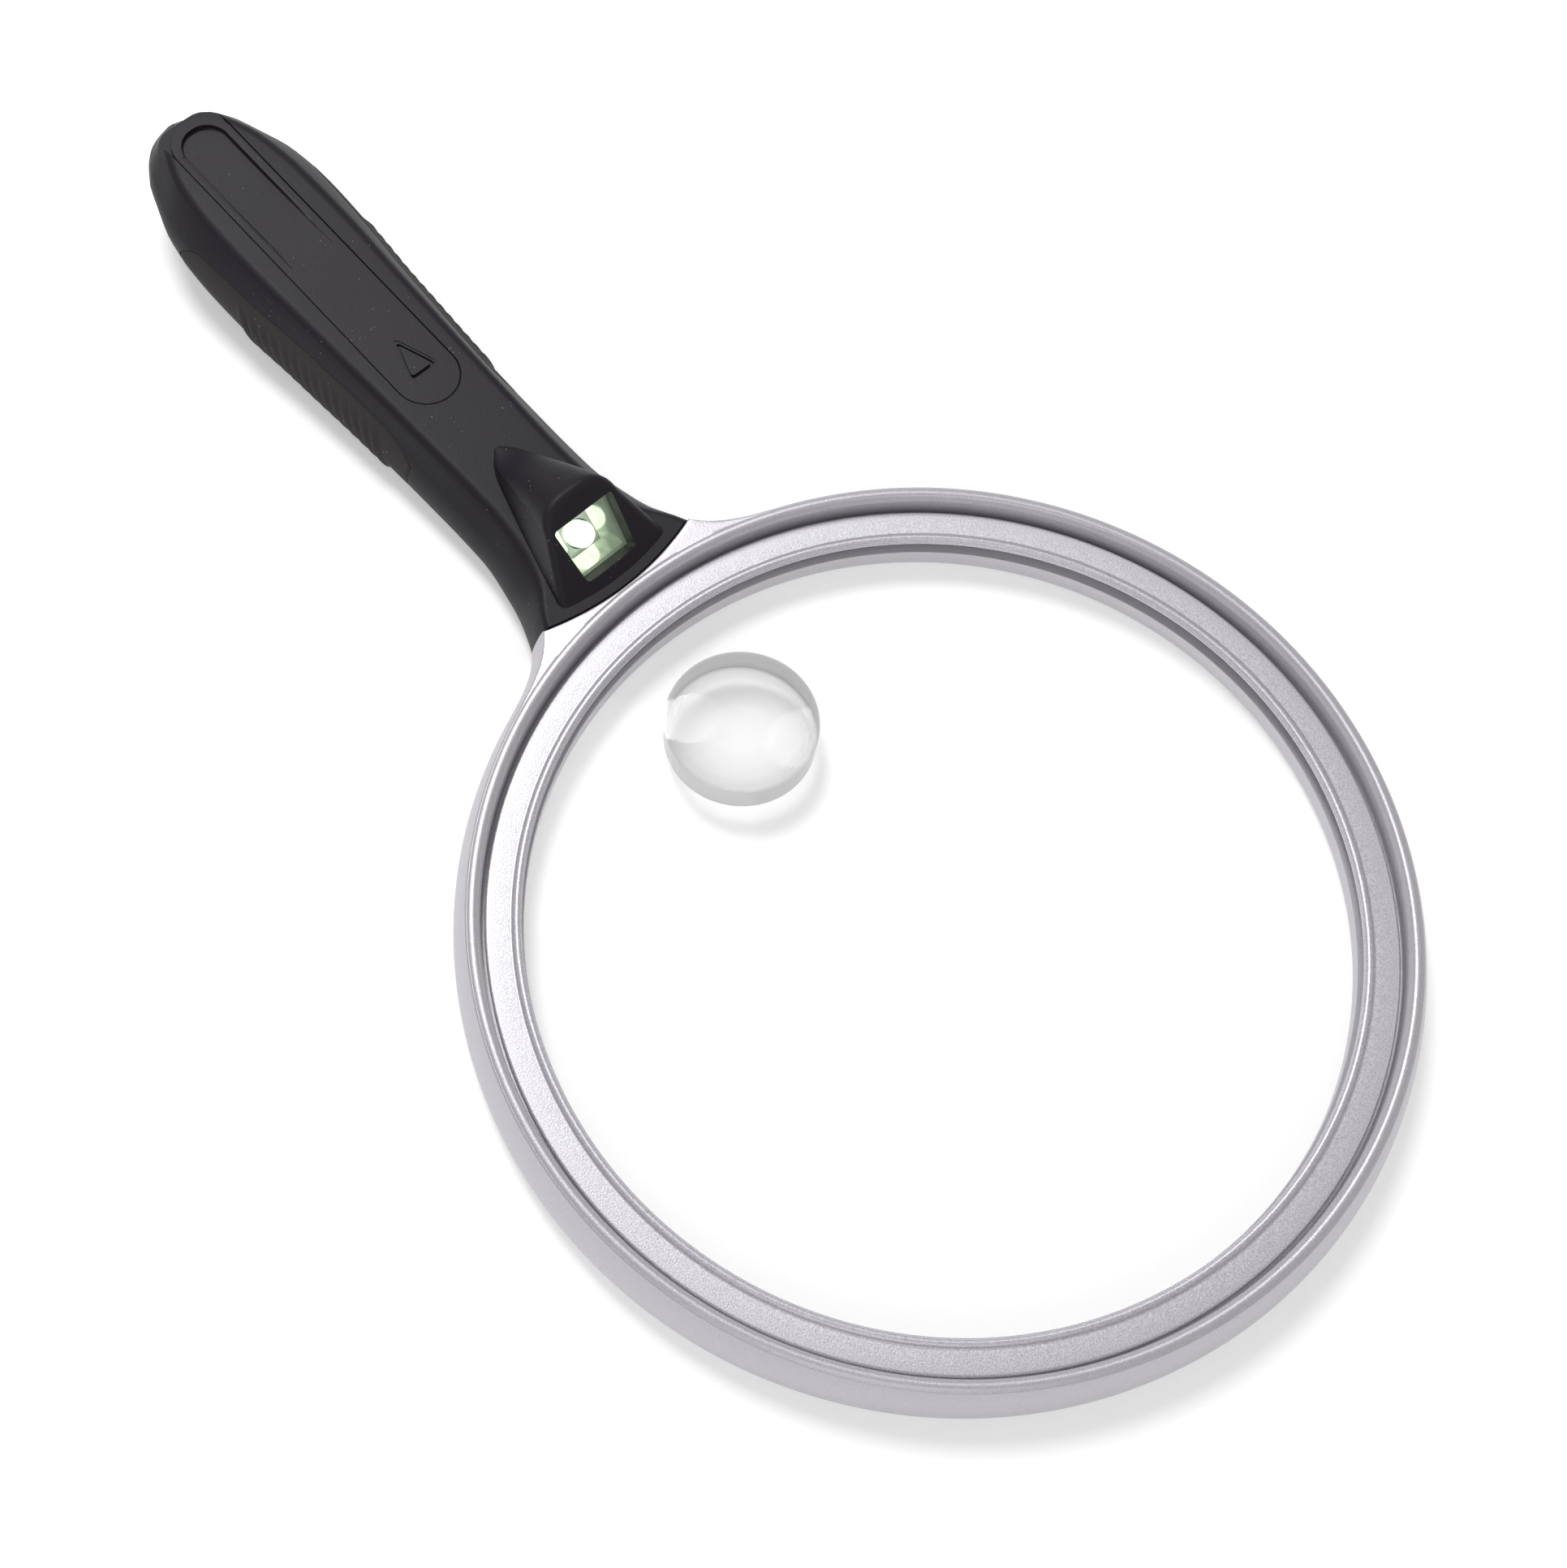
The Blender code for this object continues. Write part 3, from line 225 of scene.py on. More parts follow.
def circle(radius, count, centre=(0.0, 0.0), start=0.0, turn=2 * math.pi):
    closed = abs(turn - 2 * math.pi) < 1e-9
    steps = count if closed else count - 1
    return [(centre[0] + radius * math.cos(start + turn * i / steps),
             centre[1] + radius * math.sin(start + turn * i / steps)) for i in range(count)]


def cylinder(name, radius, s, y, low, high, count=32):
    return prism(name, circle(radius, count, (RING_X - s, y)), low, high)


def box(name, s_range, y_range, z_range):
    x0, x1 = RING_X - s_range[1], RING_X - s_range[0]
    outline = [(x0, y_range[0]), (x1, y_range[0]), (x1, y_range[1]), (x0, y_range[1])]
    return prism(name, outline, z_range[0], z_range[1])


def revolve(name, profile, segments, centre_s=0.0, centre_y=0.0):
    """A (radius, height) profile turned round a vertical axis; radius 0 makes a pole."""
    points, rows = [], []
    for radius, height in profile:
        if radius == 0.0:
            rows.append([len(points)] * segments)
            points.append(point(centre_s, centre_y, height))
            continue
        rows.append(list(range(len(points), len(points) + segments)))
        for x, y in circle(radius, segments):
            points.append(point(centre_s, centre_y, height) + Vector((x, y, 0)) * MM)
    faces = []
    for one, two in zip(rows, rows[1:] + rows[:1]):
        for i in range(segments):
            j = (i + 1) % segments
            corners = [one[i], one[j], two[j], two[i]]
            face = [c for k, c in enumerate(corners) if c not in corners[:k]]
            if len(face) > 2:
                faces.append(face)
    return solid(name, points, faces)


def combine(target, others, operation):
    for other in others:
        step = target.modifiers.new("step", "BOOLEAN")
        step.operation = operation
        step.object = other
        step.solver = "EXACT"
        evaluated = target.evaluated_get(bpy.context.evaluated_depsgraph_get())
        mesh = bpy.data.meshes.new_from_object(evaluated)
        target.modifiers.clear()
        target.data = mesh
        bpy.data.objects.remove(other, do_unlink=True)
    return target


def cut(target, *others):
    return combine(target, others, "DIFFERENCE")


def join(target, *others):
    return combine(target, others, "UNION")


def rounded(outline, radius, count=6):
    """Closed outline with each corner turned into a smooth curve."""
    out = []
    for i, corner in enumerate(outline):
        here = Vector(corner)
        before, after = Vector(outline[i - 1]), Vector(outline[(i + 1) % len(outline)])
        start = here + (before - here).normalized() * min(radius, 0.45 * (before - here).length)
        end = here + (after - here).normalized() * min(radius, 0.45 * (after - here).length)
        for k in range(count):
            t = k / (count - 1)
            spot = start * (1 - t) ** 2 + here * (2 * t * (1 - t)) + end * t * t
            out.append((spot.x, spot.y))
    return out


def stadium(start, end, half_width, count=33, open_end=None):
    outline = circle(half_width, count, (start + half_width, 0.0), math.pi / 2, math.pi)
    if open_end is None:
        return outline + circle(half_width, count, (end - half_width, 0.0), -math.pi / 2, math.pi)
    return outline + [(open_end, -half_width), (open_end, half_width)]


def finish(item, name, body, paint, replaced=(), smooth_degrees=30.0):
    """Clean, shade and paint a piece, hang it on the body it rides on, and hide the CAD parts it replaces."""
    item.name = name
    item.data.name = name
    work = bmesh.new()
    work.from_mesh(item.data)
    bmesh.ops.remove_doubles(work, verts=work.verts, dist=1e-6)
    bmesh.ops.dissolve_degenerate(work, edges=work.edges, dist=1e-6)
    bmesh.ops.triangulate(work, faces=[f for f in work.faces if len(f.verts) > 4])
    bmesh.ops.recalc_face_normals(work, faces=work.faces)
    limit = math.radians(smooth_degrees)
    for face in work.faces:
        face.smooth = True
        face.material_index = 0
    for edge in work.edges:
        edge.smooth = len(edge.link_faces) == 2 and edge.calc_face_angle(0.0) < limit
    work.to_mesh(item.data)
    work.free()
    item.data.materials.clear()
    item.data.materials.append(paint)
    even = item.modifiers.new("even_normals", "WEIGHTED_NORMAL")
    even.keep_sharp = True
    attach(item, body)
    if replaced:
        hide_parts(*replaced)
    return item


# ---------------------------------------------------------------- materials

class Paint:
    """A Principled material whose colour, roughness and bump come from procedural nodes."""

    def __init__(self, name, roughness, metallic=0.0):
        self.item = bpy.data.materials.new(name)
        self.item.use_nodes = True
        self.tree = self.item.node_tree
        self.shader = self.tree.nodes["Principled BSDF"]
        self.set("Roughness", roughness)
        self.set("Metallic", metallic)
        self.spot = self.tree.nodes.new("ShaderNodeTexCoord").outputs["Object"]

    def set(self, socket, value):
        self.shader.inputs[socket].default_value = value

    def link(self, source, target):
        self.tree.links.new(source, target)

    def noise(self, scale, detail=2.0, roughness=0.5, stretch=None):
        node = self.tree.nodes.new("ShaderNodeTexNoise")
        node.inputs["Scale"].default_value = scale
        node.inputs["Detail"].default_value = detail
        node.inputs["Roughness"].default_value = roughness
        source = self.spot
        if stretch:
            mapping = self.tree.nodes.new("ShaderNodeMapping")
            mapping.inputs["Scale"].default_value = stretch
            self.link(self.spot, mapping.inputs["Vector"])
            source = mapping.outputs["Vector"]
        self.link(source, node.inputs["Vector"])
        return node.outputs["Fac"]

    def cells(self, scale):
        node = self.tree.nodes.new("ShaderNodeTexVoronoi")
        node.inputs["Scale"].default_value = scale
        self.link(self.spot, node.inputs["Vector"])
        return node

    def ramp(self, source, stops):
        node = self.tree.nodes.new("ShaderNodeValToRGB")
        while len(node.color_ramp.elements) < len(stops):
            node.color_ramp.elements.new(0.5)
        for element, (place, colour) in zip(node.color_ramp.elements, stops):
            element.position = place
            element.color = (*colour, 1.0) if hasattr(colour, "__len__") else (colour, colour, colour, 1.0)
        self.link(source, node.inputs["Fac"])
        return node.outputs["Color"]

    def mix(self, factor, one, two):
        node = self.tree.nodes.new("ShaderNodeMix")
        node.data_type = "RGBA"
        for socket, value in ((node.inputs[0], factor), (node.inputs[6], one), (node.inputs[7], two)):
            if hasattr(value, "is_linked"):
                self.link(value, socket)
            elif hasattr(value, "__len__"):
                socket.default_value = (*value, 1.0)
            else:
                socket.default_value = value
        return node.outputs[2]

    def spread(self, source, low, high, start=0.0, end=1.0):
        """The source between start and end turned into low to high."""
        node = self.tree.nodes.new("ShaderNodeMapRange")
        node.inputs["From Min"].default_value = start
        node.inputs["From Max"].default_value = end
        node.inputs["To Min"].default_value = low
        node.inputs["To Max"].default_value = high
        self.link(source, node.inputs["Value"])
        return node.outputs["Result"]

    def times(self, one, two, kind="MULTIPLY"):
        node = self.tree.nodes.new("ShaderNodeMath")
        node.operation = kind
        for socket, value in zip(node.inputs, (one, two)):
            if hasattr(value, "is_linked"):
                self.link(value, socket)
            else:
                socket.default_value = value
        return node.outputs[0]

    def colour(self, source):
        self.link(source, self.shader.inputs["Base Color"])

    def rough(self, source):
        self.link(source, self.shader.inputs["Roughness"])

    def bump(self, source, depth, strength=1.0):
        node = self.tree.nodes.new("ShaderNodeBump")
        node.inputs["Distance"].default_value = depth
        node.inputs["Strength"].default_value = strength
        self.link(source, node.inputs["Height"])
        self.link(node.outputs["Normal"], self.shader.inputs["Normal"])


def silver_paint(name, base, grain, metallic=0.55):
    paint = Paint(name, 0.4, metallic)
    flake = paint.noise(3800.0, 2.0, 0.6)
    broad = paint.noise(40.0, 3.0)
    dark = tuple(c * (1.0 - grain) for c in base)
    bright = tuple(min(1.0, c * (1.0 + grain)) for c in base)
    speckled = paint.ramp(flake, [(0.3, dark), (0.7, bright)])
    paint.colour(paint.mix(paint.spread(broad, 0.0, 0.10), speckled, tuple(c * 0.8 for c in base)))
    paint.rough(paint.spread(flake, 0.30, 0.50))
    paint.bump(flake, 0.00006, 0.5)
    return paint.item


def soft_black(name, base, dust, rough=(0.42, 0.56), depth=0.00004):
    paint = Paint(name, 0.5)
    fine = paint.noise(2600.0, 3.0)
    broad = paint.noise(28.0, 4.0)
    tone = paint.ramp(broad, [(0.3, tuple(c * 0.86 for c in base)), (0.7, tuple(c * 1.12 for c in base))])
    specks = paint.cells(900.0)
    small = paint.ramp(specks.outputs["Distance"], [(0.0, 1.0), (0.13, 0.0)])
    chosen = paint.ramp(paint.noise(170.0, 2.0), [(0.56, 0.0), (0.62, 1.0)])
    spots = paint.times(paint.times(small, chosen), dust)
    paint.colour(paint.mix(spots, tone, (0.42, 0.40, 0.40)))
    paint.rough(paint.spread(paint.mix(0.5, fine, broad), *rough))
    paint.bump(fine, depth, 0.6)
    paint.set("Specular IOR Level", 0.25)
    return paint.item


def clear_paint(name, tint, alpha, rough=0.03):
    paint = Paint(name, rough)
    haze = paint.noise(60.0, 3.0)
    paint.colour(paint.ramp(haze, [(0.3, tuple(c * 0.97 for c in tint)), (0.7, tint)]))
    paint.rough(paint.spread(haze, rough * 0.6, rough * 1.5))
    paint.set("Alpha", alpha)
    paint.set("IOR", 1.49)
    return paint


def plain_paint(name, base, rough, metallic=0.0, scale=900.0, depth=0.00003, stretch=None):
    """Colour and roughness varied by a noise, with a fine bump."""
    paint = Paint(name, rough, metallic)
    grain = paint.noise(scale, 3.0, 0.55, stretch)
    paint.colour(paint.ramp(grain, [(0.3, tuple(c * 0.82 for c in base)),
                                    (0.7, tuple(min(1.0, c * 1.12) for c in base))]))
    paint.rough(paint.spread(grain, rough * 0.8, min(1.0, rough * 1.25)))
    paint.bump(grain, depth, 0.5)
    return paint


def spot_paint():
    """The spot lens: nearly clear in its middle, with painted shade turning it grey towards its edge, where
    light is bent at its rim.
    """
    paint = clear_paint("spot_lens_painted_edge_shade", (0.60, 0.60, 0.605), 0.2)
    centred = paint.tree.nodes.new("ShaderNodeMapping")
    centred.inputs["Location"].default_value = (-(RING_X - SPOT_S) * MM, -SPOT_Y * MM, -LENS_Z * MM)
    paint.link(paint.spot, centred.inputs["Vector"])
    flat = paint.tree.nodes.new("ShaderNodeVectorMath")
    flat.operation = "MULTIPLY"
    flat.inputs[1].default_value = (1.0, 1.0, 0.0)
    paint.link(centred.outputs["Vector"], flat.inputs[0])
    length = paint.tree.nodes.new("ShaderNodeVectorMath")
    length.operation = "LENGTH"
    paint.link(flat.outputs[0], length.inputs[0])
    share = paint.times(length.outputs["Value"], SPOT_R * MM, "DIVIDE")
    # Painted shade: the alpha of the grey tint rises towards the rim in place of the light bent at the lens's
    # edge.
    paint.link(paint.ramp(share, [(0.0, 0.05), (0.45, 0.08), (0.8, 0.24), (0.955, 0.46), (1.0, 0.95)]),
               paint.shader.inputs["Alpha"])
    return paint.item


def mirror_paint():
    """The reflector, with a painted glow, stronger towards -Y, that stands in for the lamp's light reflected
    in the mirror.
    """
    paint = plain_paint("reflector_mirror", (0.80, 0.88, 0.78), 0.12, 0.9, 500.0, 0.00003)
    # Painted light: the emission is a painted glow for the lamp's reflected light, since the reflector is no
    # lamp.
    paint.set("Emission Color", (0.62, 0.80, 0.50, 1.0))
    axes = paint.tree.nodes.new("ShaderNodeSeparateXYZ")
    paint.link(paint.spot, axes.inputs["Vector"])
    painted_glow_across = paint.spread(axes.outputs["Y"], 0.28, 0.10, -LAMP_HALF * MM, LAMP_HALF * MM)
    glow = paint.spread(paint.noise(230.0, 2.0), 0.7, 1.3)
    paint.link(paint.times(painted_glow_across, glow), paint.shader.inputs["Emission Strength"])
    return paint.item


def lit_paint():
    """The lit dome of the lamp."""
    paint = plain_paint("lamp_glow", (0.92, 1.0, 0.86), 0.2, 0.0, 400.0)
    paint.set("Emission Color", (0.90, 1.0, 0.80, 1.0))
    paint.link(paint.spread(paint.noise(500.0), 1.0, 1.4), paint.shader.inputs["Emission Strength"])
    return paint.item


def make_paints():
    paints = {
        "silver": silver_paint("silver_paint", (0.56, 0.54, 0.575), 0.10),
        "retainer": silver_paint("silver_flake", (0.60, 0.585, 0.625), 0.22),
        "black": soft_black("soft_black", (0.0125, 0.0100, 0.0150), 0.8),
        "door": soft_black("soft_black_door", (0.0145, 0.0115, 0.0175), 0.7),
        "rubber": soft_black("grip_rubber", (0.034, 0.030, 0.030), 1.0, (0.62, 0.82), 0.00008),
        "board": plain_paint("board_green", (0.02, 0.14, 0.06), 0.4, scale=300.0).item,
        "dark": plain_paint("dark_plastic", (0.03, 0.03, 0.033), 0.5).item,
        "copper": plain_paint("coil_copper", (0.62, 0.26, 0.12), 0.35, 0.9, 60.0, 0.0002, (1, 1, 60)).item,
        "steel": plain_paint("plated_steel", (0.66, 0.66, 0.64), 0.28, 1.0, 700.0, 0.00002, (1, 8, 1)).item,
        "jacket": plain_paint("cell_jacket", (0.34, 0.35, 0.37), 0.32, 0.5, 120.0).item,
        "red": plain_paint("wire_red", (0.50, 0.03, 0.02), 0.42).item,
        "wire_black": plain_paint("wire_black", (0.02, 0.02, 0.02), 0.42).item,
        "slip": plain_paint("switch_plastic", (0.05, 0.05, 0.055), 0.45).item,
    }
    paints["lens"] = clear_paint("lens_clear", (0.97, 0.98, 0.98), 0.05).item
    paints["window"] = clear_paint("lamp_clear", (0.80, 0.90, 0.80), 0.07, 0.05).item
    paints["spot"] = spot_paint()
    # The reflector's paint holds a painted glow for the lamp's reflected light.
    paints["mirror"] = mirror_paint()
    paints["lit"] = lit_paint()
    return paints


# ---------------------------------------------------------------- the ring

def flare_outline(shift):
    """The neck's outer plan curve moved inwards by shift, as (angle from the handle, radius)."""
    dense = []
    knots = [Vector(knot) for knot in FLARE]
    for a, b, c, d in zip(knots, knots[1:], knots[2:], knots[3:]):
        for i in range(24):
            t = i / 24.0
            dense.append(0.5 * (2 * b + (c - a) * t + (2 * a - 5 * b + 4 * c - d) * t * t
                                + (3 * b - a - 3 * c + d) * t ** 3))
    polar = []
    for before, here, after in zip(dense, dense[1:], dense[2:]):
        run = (after - before).normalized()
        s, y = here.x - run.y * shift, here.y + run.x * shift
        polar.append((math.atan2(y, s), math.hypot(s, y)))
    return polar


def polar_radius(polar, angle):
    if angle <= polar[0][0]:
        return polar[0][1] + (polar[0][0] - angle) * 200.0
    for (a0, r0), (a1, r1) in zip(polar, polar[1:]):
        if a0 <= angle <= a1:
            return r0 + (r1 - r0) * (angle - a0) / (a1 - a0)
    return 0.0


def join_radius(angle, offset):
    """Distance from the ring's centre to the joint with the handle, along a direction."""
    radius = JOIN_S
    for _ in range(12):
        y = radius * math.sin(angle)
        radius = (JOIN_S + JOIN_SAG * (y / JOIN_Y) ** 2 + offset) / math.cos(angle)
    return radius


def ring_columns(polar):
    """Angles of the columns of one level, with one column on the joint's corner."""
    low, high = 0.12, 0.35
    for _ in range(30):
        corner = (low + high) / 2
        if polar_radius(polar, corner) > join_radius(corner, -SEAM / 2):
            low = corner
        else:
            high = corner
    counts = ((0.0, corner, 20), (corner, FLARE_ANGLE, 44), (FLARE_ANGLE, math.pi, 200))
    half = [a + (b - a) * i / n for a, b, n in counts for i in range(n)] + [math.pi]
    return half + [2 * math.pi - a for a in reversed(half[1:-1])]


def build_ring(paints):
    rows, points = [], []

    def add_row(spots):
        rows.append(list(range(len(points), len(points) + len(spots))))
        for angle, radius, height in spots:
            points.append(point(radius * math.cos(angle), radius * math.sin(angle), height))

    def outer(least, angle, polar):
        side = angle if angle <= math.pi else 2 * math.pi - angle
        reach = least
        if side < FLARE_ANGLE:
            reach = max(least, polar_radius(polar, side))
        if side < JOIN_ANGLE:
            reach = min(reach, join_radius(side, -SEAM / 2))
        return reach

    for radius, height in RING_WALL:
        polar = flare_outline(WALL_R - radius)
        add_row([(a, outer(radius, a, polar), height) for a in ring_columns(polar)])
    top = flare_outline(WALL_R - FLAT_R)
    columns = ring_columns(top)
    reach = [outer(FLAT_R, a, top) for a in columns]
    extra = [r - FLAT_R for r in reach]
    add_row([(a, r - 0.10, 11.95) for a, r in zip(columns, reach)])
    add_row([(a, r - 0.26, 12.13) for a, r in zip(columns, reach)])
    add_row([(a, r - 0.42, NECK_TOP) for a, r in zip(columns, reach)])
    for share in (0.75, 0.5, 0.25):
        add_row([(a, 80.13 + max(e, 0.05) * share, NECK_TOP + 0.01) for a, e in zip(columns, extra)])
    crest = [(80.10, 12.21), (80.02, 12.27), (79.85, 12.37), (79.6, 12.46), (79.3, RING_H), (79.0, 12.48),
             (78.7, 12.38), (78.45, 12.18), (78.25, 11.85), (78.12, 11.4), (78.06, 11.34), (78.02, 11.2),
             (GROOVE_R, 10.6), (GROOVE_R, 7.1), (SEAT_R, 7.1), (SEAT_R, 5.0), (OPENING_R + 0.1, 5.0),
             (OPENING_R, 4.9), (OPENING_R, 3.4), (OPENING_R + 0.25, 3.2), (OPENING_R + 0.25, 1.5),
             (OPENING_R + 0.35, 0.8), (OPENING_R + 0.6, 0.3), (71.95, 0.0)]
    for radius, height in crest:
        add_row([(a, radius, height) for a in columns])
    count = len(columns)
    faces = []
    for one, two in zip(rows, rows[1:] + rows[:1]):
        faces += [(one[i], one[(i + 1) % count], two[(i + 1) % count], two[i]) for i in range(count)]
    ring = solid("ring", points, faces)
    tang = box("tang", (78.6, 88.0), (-12.0, 12.0), TANG_Z)
    ears = [box("ear", (87.0, 96.0), y_range, TANG_Z) for y_range in ((7.4, 12.0), (-12.0, -7.4))]
    ring = join(ring, tang, *ears)
    ring = cut(ring, *[cylinder("hole", SCREW_R + 0.35, s, y, 0.5, 9.0) for s, y in NECK_SCREWS])
    finish(ring, "silver_ring", "frame", paints["silver"], ("ring_frame",), 38.0)


def build_retainer(paints):
    profile = [(73.8, 7.4), (71.2, 7.8), (71.15, 8.0), (71.15, 8.35), (71.3, 8.45), (71.32, 8.62),
               (71.42, 8.8), (71.6, 8.97), (71.82, 9.07), (72.05, 9.1), (72.3, 9.05), (72.55, 8.92),
               (72.75, 8.74), (72.85, 8.60), (73.0, 8.52), (73.2, 8.53), (73.6, 8.56), (75.0, 8.62),
               (76.8, 8.70), (77.05, 8.67), (77.25, 8.56), (77.37, 8.38), (77.4, 8.2), (77.4, 7.4)]
    finish(revolve("retainer", profile, 384), "silver_retainer", "frame",
           paints["retainer"], ("retaining_ring",), 40.0)


def lens_profile(radius, curve, crest, steps):
    """Both faces of a lens as (radius, height); crest is half its thickness in the middle."""
    radii = [radius * i / steps for i in range(steps + 1)]
    faces = [(r, crest - r * r / (2.0 * curve)) for r in radii]
    return [(r, LENS_Z + rise) for r, rise in faces] + [(r, LENS_Z - rise) for r, rise in reversed(faces)]


def build_lenses(paints):
    crest = LENS_EDGE / 2 + LENS_R ** 2 / (2 * LENS_CURVE)
    lens = revolve("main", lens_profile(LENS_R, LENS_CURVE, crest, 16), 128)
    hole = prism("hole", circle(SPOT_R + SEAM, 96, (RING_X - SPOT_S, SPOT_Y)), -5.0, 20.0)
    finish(cut(lens, hole), "clear_lens", "frame", paints["lens"], ("main_lens",))
    spot = revolve("spot", lens_profile(SPOT_R, SPOT_CURVE, SPOT_CREST, 10), 128, SPOT_S, SPOT_Y)
    finish(spot, "strong_lens", "frame", paints["spot"], ("spot_lens",))


# ---------------------------------------------------------------- the handle's shape

def side_controls(s):
    """Control points of the half-section: top middle to floor middle by way of the widest line."""
    width = along(WIDTH, s)
    flat = min(along(FLAT, s), width * 0.84)
    top, middle, low = top_height(s), along(EQUATOR, s), along(BOTTOM, s)
    shoulder_y, shoulder_z = along(SHOULDER, s) * width, top - along(BEVEL_DROP, s)
    return [(0.0, top), (flat, top), (shoulder_y, shoulder_z),
            (shoulder_y + 0.66 * (width - shoulder_y), shoulder_z + 0.42 * (middle - shoulder_z)),
            (width + 0.05, middle), (along(SIDE_LOW, s) * width, low + 0.36 * (middle - low)),
            (along(FOOT, s) * width, low),
            (0.0, low)]


def smooth_section(s):
    """Outer half-section at s, as the list above the parting line and the list below it."""
    controls = [Vector(c) for c in side_controls(s)]
    flat_end = controls[1]
    setback = min(1.5, 0.42 * (controls[2] - flat_end).length, 0.3 * flat_end.x + 0.05)
    above, below = [], []
    for i in range(5):
        above.append(controls[0].lerp(Vector((flat_end.x - setback, flat_end.y)), i / 5.0))
    for index in range(1, 7):
        here, before, after = controls[index], controls[index - 1], controls[index + 1]
        if index == 1:
            start = Vector((here.x - setback, here.y))
            end = here + (after - here).normalized() * setback
        else:
            start, end = (here + before) / 2, (here + after) / 2
        if index == 6:
            end = here + (after - here) * 0.2
        for k in range(6):
            t = k / 6.0
            spot = start * (1 - t) ** 2 + here * (2 * t * (1 - t)) + end * t * t
            (above if index < 4 or (index == 4 and k <= 3) else below).append(spot)
            if index == 4 and k == 3:
                below.append(spot.copy())
    below.append(controls[6] + (controls[7] - controls[6]) * 0.2)
    below.append(controls[7].copy())
    return above, below


def mirrored(half, s):
    """Closed ring at s from a half-section that starts and ends on the middle plane or at the side."""
    right = [point(s, p[0], p[1]) for p in half]
    left = [point(s, -p[0], p[1]) for p in reversed(half) if abs(p[0]) > 1e-6]
    return right + left


def stations():
    places = [79.5 + 0.9 * i for i in range(24)] + [101.6 + 1.9 * i for i in range(53)]
    places += [202.0, 203.0, 203.8, 204.6, 205.3, 205.9, 206.4, 206.9, 207.3, 207.6, 207.85, 208.0, 208.12]
    return places + [BUTT_S]


def inner_section(s):
    """Half-section of the space inside the handle at s."""
    wall = along(WALL, s)
    outer = side_controls(s)
    ceiling, ground = outer[0][1] - along(ROOF, s), outer[-1][1] + FLOOR
    flat, shoulder, widest, lower, edge = outer[1], outer[2], outer[4], outer[5], outer[6]
    flat_y = flat[0] - 0.3 * wall
    shoulder_y = max(shoulder[0] - 0.8 * wall, flat_y + 0.2)
    shoulder_z = min(shoulder[1] - 0.3 * wall, ceiling - 0.2)
    side_y = widest[0] - wall
    return [(0.0, ceiling), (0.6 * flat_y, ceiling), (flat_y, ceiling), (shoulder_y, shoulder_z),
            (shoulder_y + 0.66 * (side_y - shoulder_y), shoulder_z + 0.45 * (widest[1] - shoulder_z)),
            (side_y, widest[1]), (lower[0] - wall, max(lower[1], ground + 0.3)), (edge[0] - wall, ground),
            (0.5 * (edge[0] - wall), ground), (0.0, ground)]


def cavity_solid():
    places = [86.0, 91.0, 98.0, 112.0, 122.0, 126.0, 145.0, 165.0, 188.0, 196.0, 200.0, 203.0]
    rings = []
    for s in places:
        half = inner_section(s)
        left = [(-y, z) for y, z in reversed(half[1:-1])]
        rings.append([point(s, y, z) for y, z in half + left])
    return loft("cavity", rings)


def lens_side_of_join():
    outline = []
    for i in range(41):
        y = -23.0 + 46.0 * i / 40.0
        outline.append((RING_X - (JOIN_S + JOIN_SAG * (y / JOIN_Y) ** 2 + SEAM / 2), y))
    ahead = RING_X - 60.0
    return prism("lens_side", outline + [(ahead, 23.0), (ahead, -23.0)], -2.0, 40.0)


def lamp_outline(margin, corner=0.0):
    top, bottom, half = LAMP_TOP + margin, LAMP_BOTTOM + margin, LAMP_HALF + margin
    outline = [(-bottom, -half), (bottom, -half), (top, half), (-top, half)]
    return rounded(outline, corner) if corner else outline


def hood_point(front, turn):
    """Point of the hood's skin on the sloping plane at front, at a turn from 0 (foot) to 1 (ridge)."""
    low, high = 70.0, 118.0
    for _ in range(34):
        s = (low + high) / 2
        foot, edge, roof = along(HOOD_FOOT, s), along(HOOD_EDGE, s), along(HOOD_ROOF, s)
        base = top_height(s) - 1.0
        spring = base + 0.62 * (roof - base)
        at_spring = foot + (edge - foot) * 0.78
        if turn < HOOD_SPRING:
            t = turn / HOOD_SPRING
            y, z = foot + (at_spring - foot) * t, base + (spring - base) * t
        else:
            t = (turn - HOOD_SPRING) / (1 - HOOD_SPRING)
            angle = t * math.pi / 2
            y = at_spring * math.cos(angle) ** 0.72
            z = spring + (roof - spring) * math.sin(angle) ** 0.9
        if s - z < front + FRONT_BOW * y * y:
            low = s
        else:
            high = s
    return s, y, z


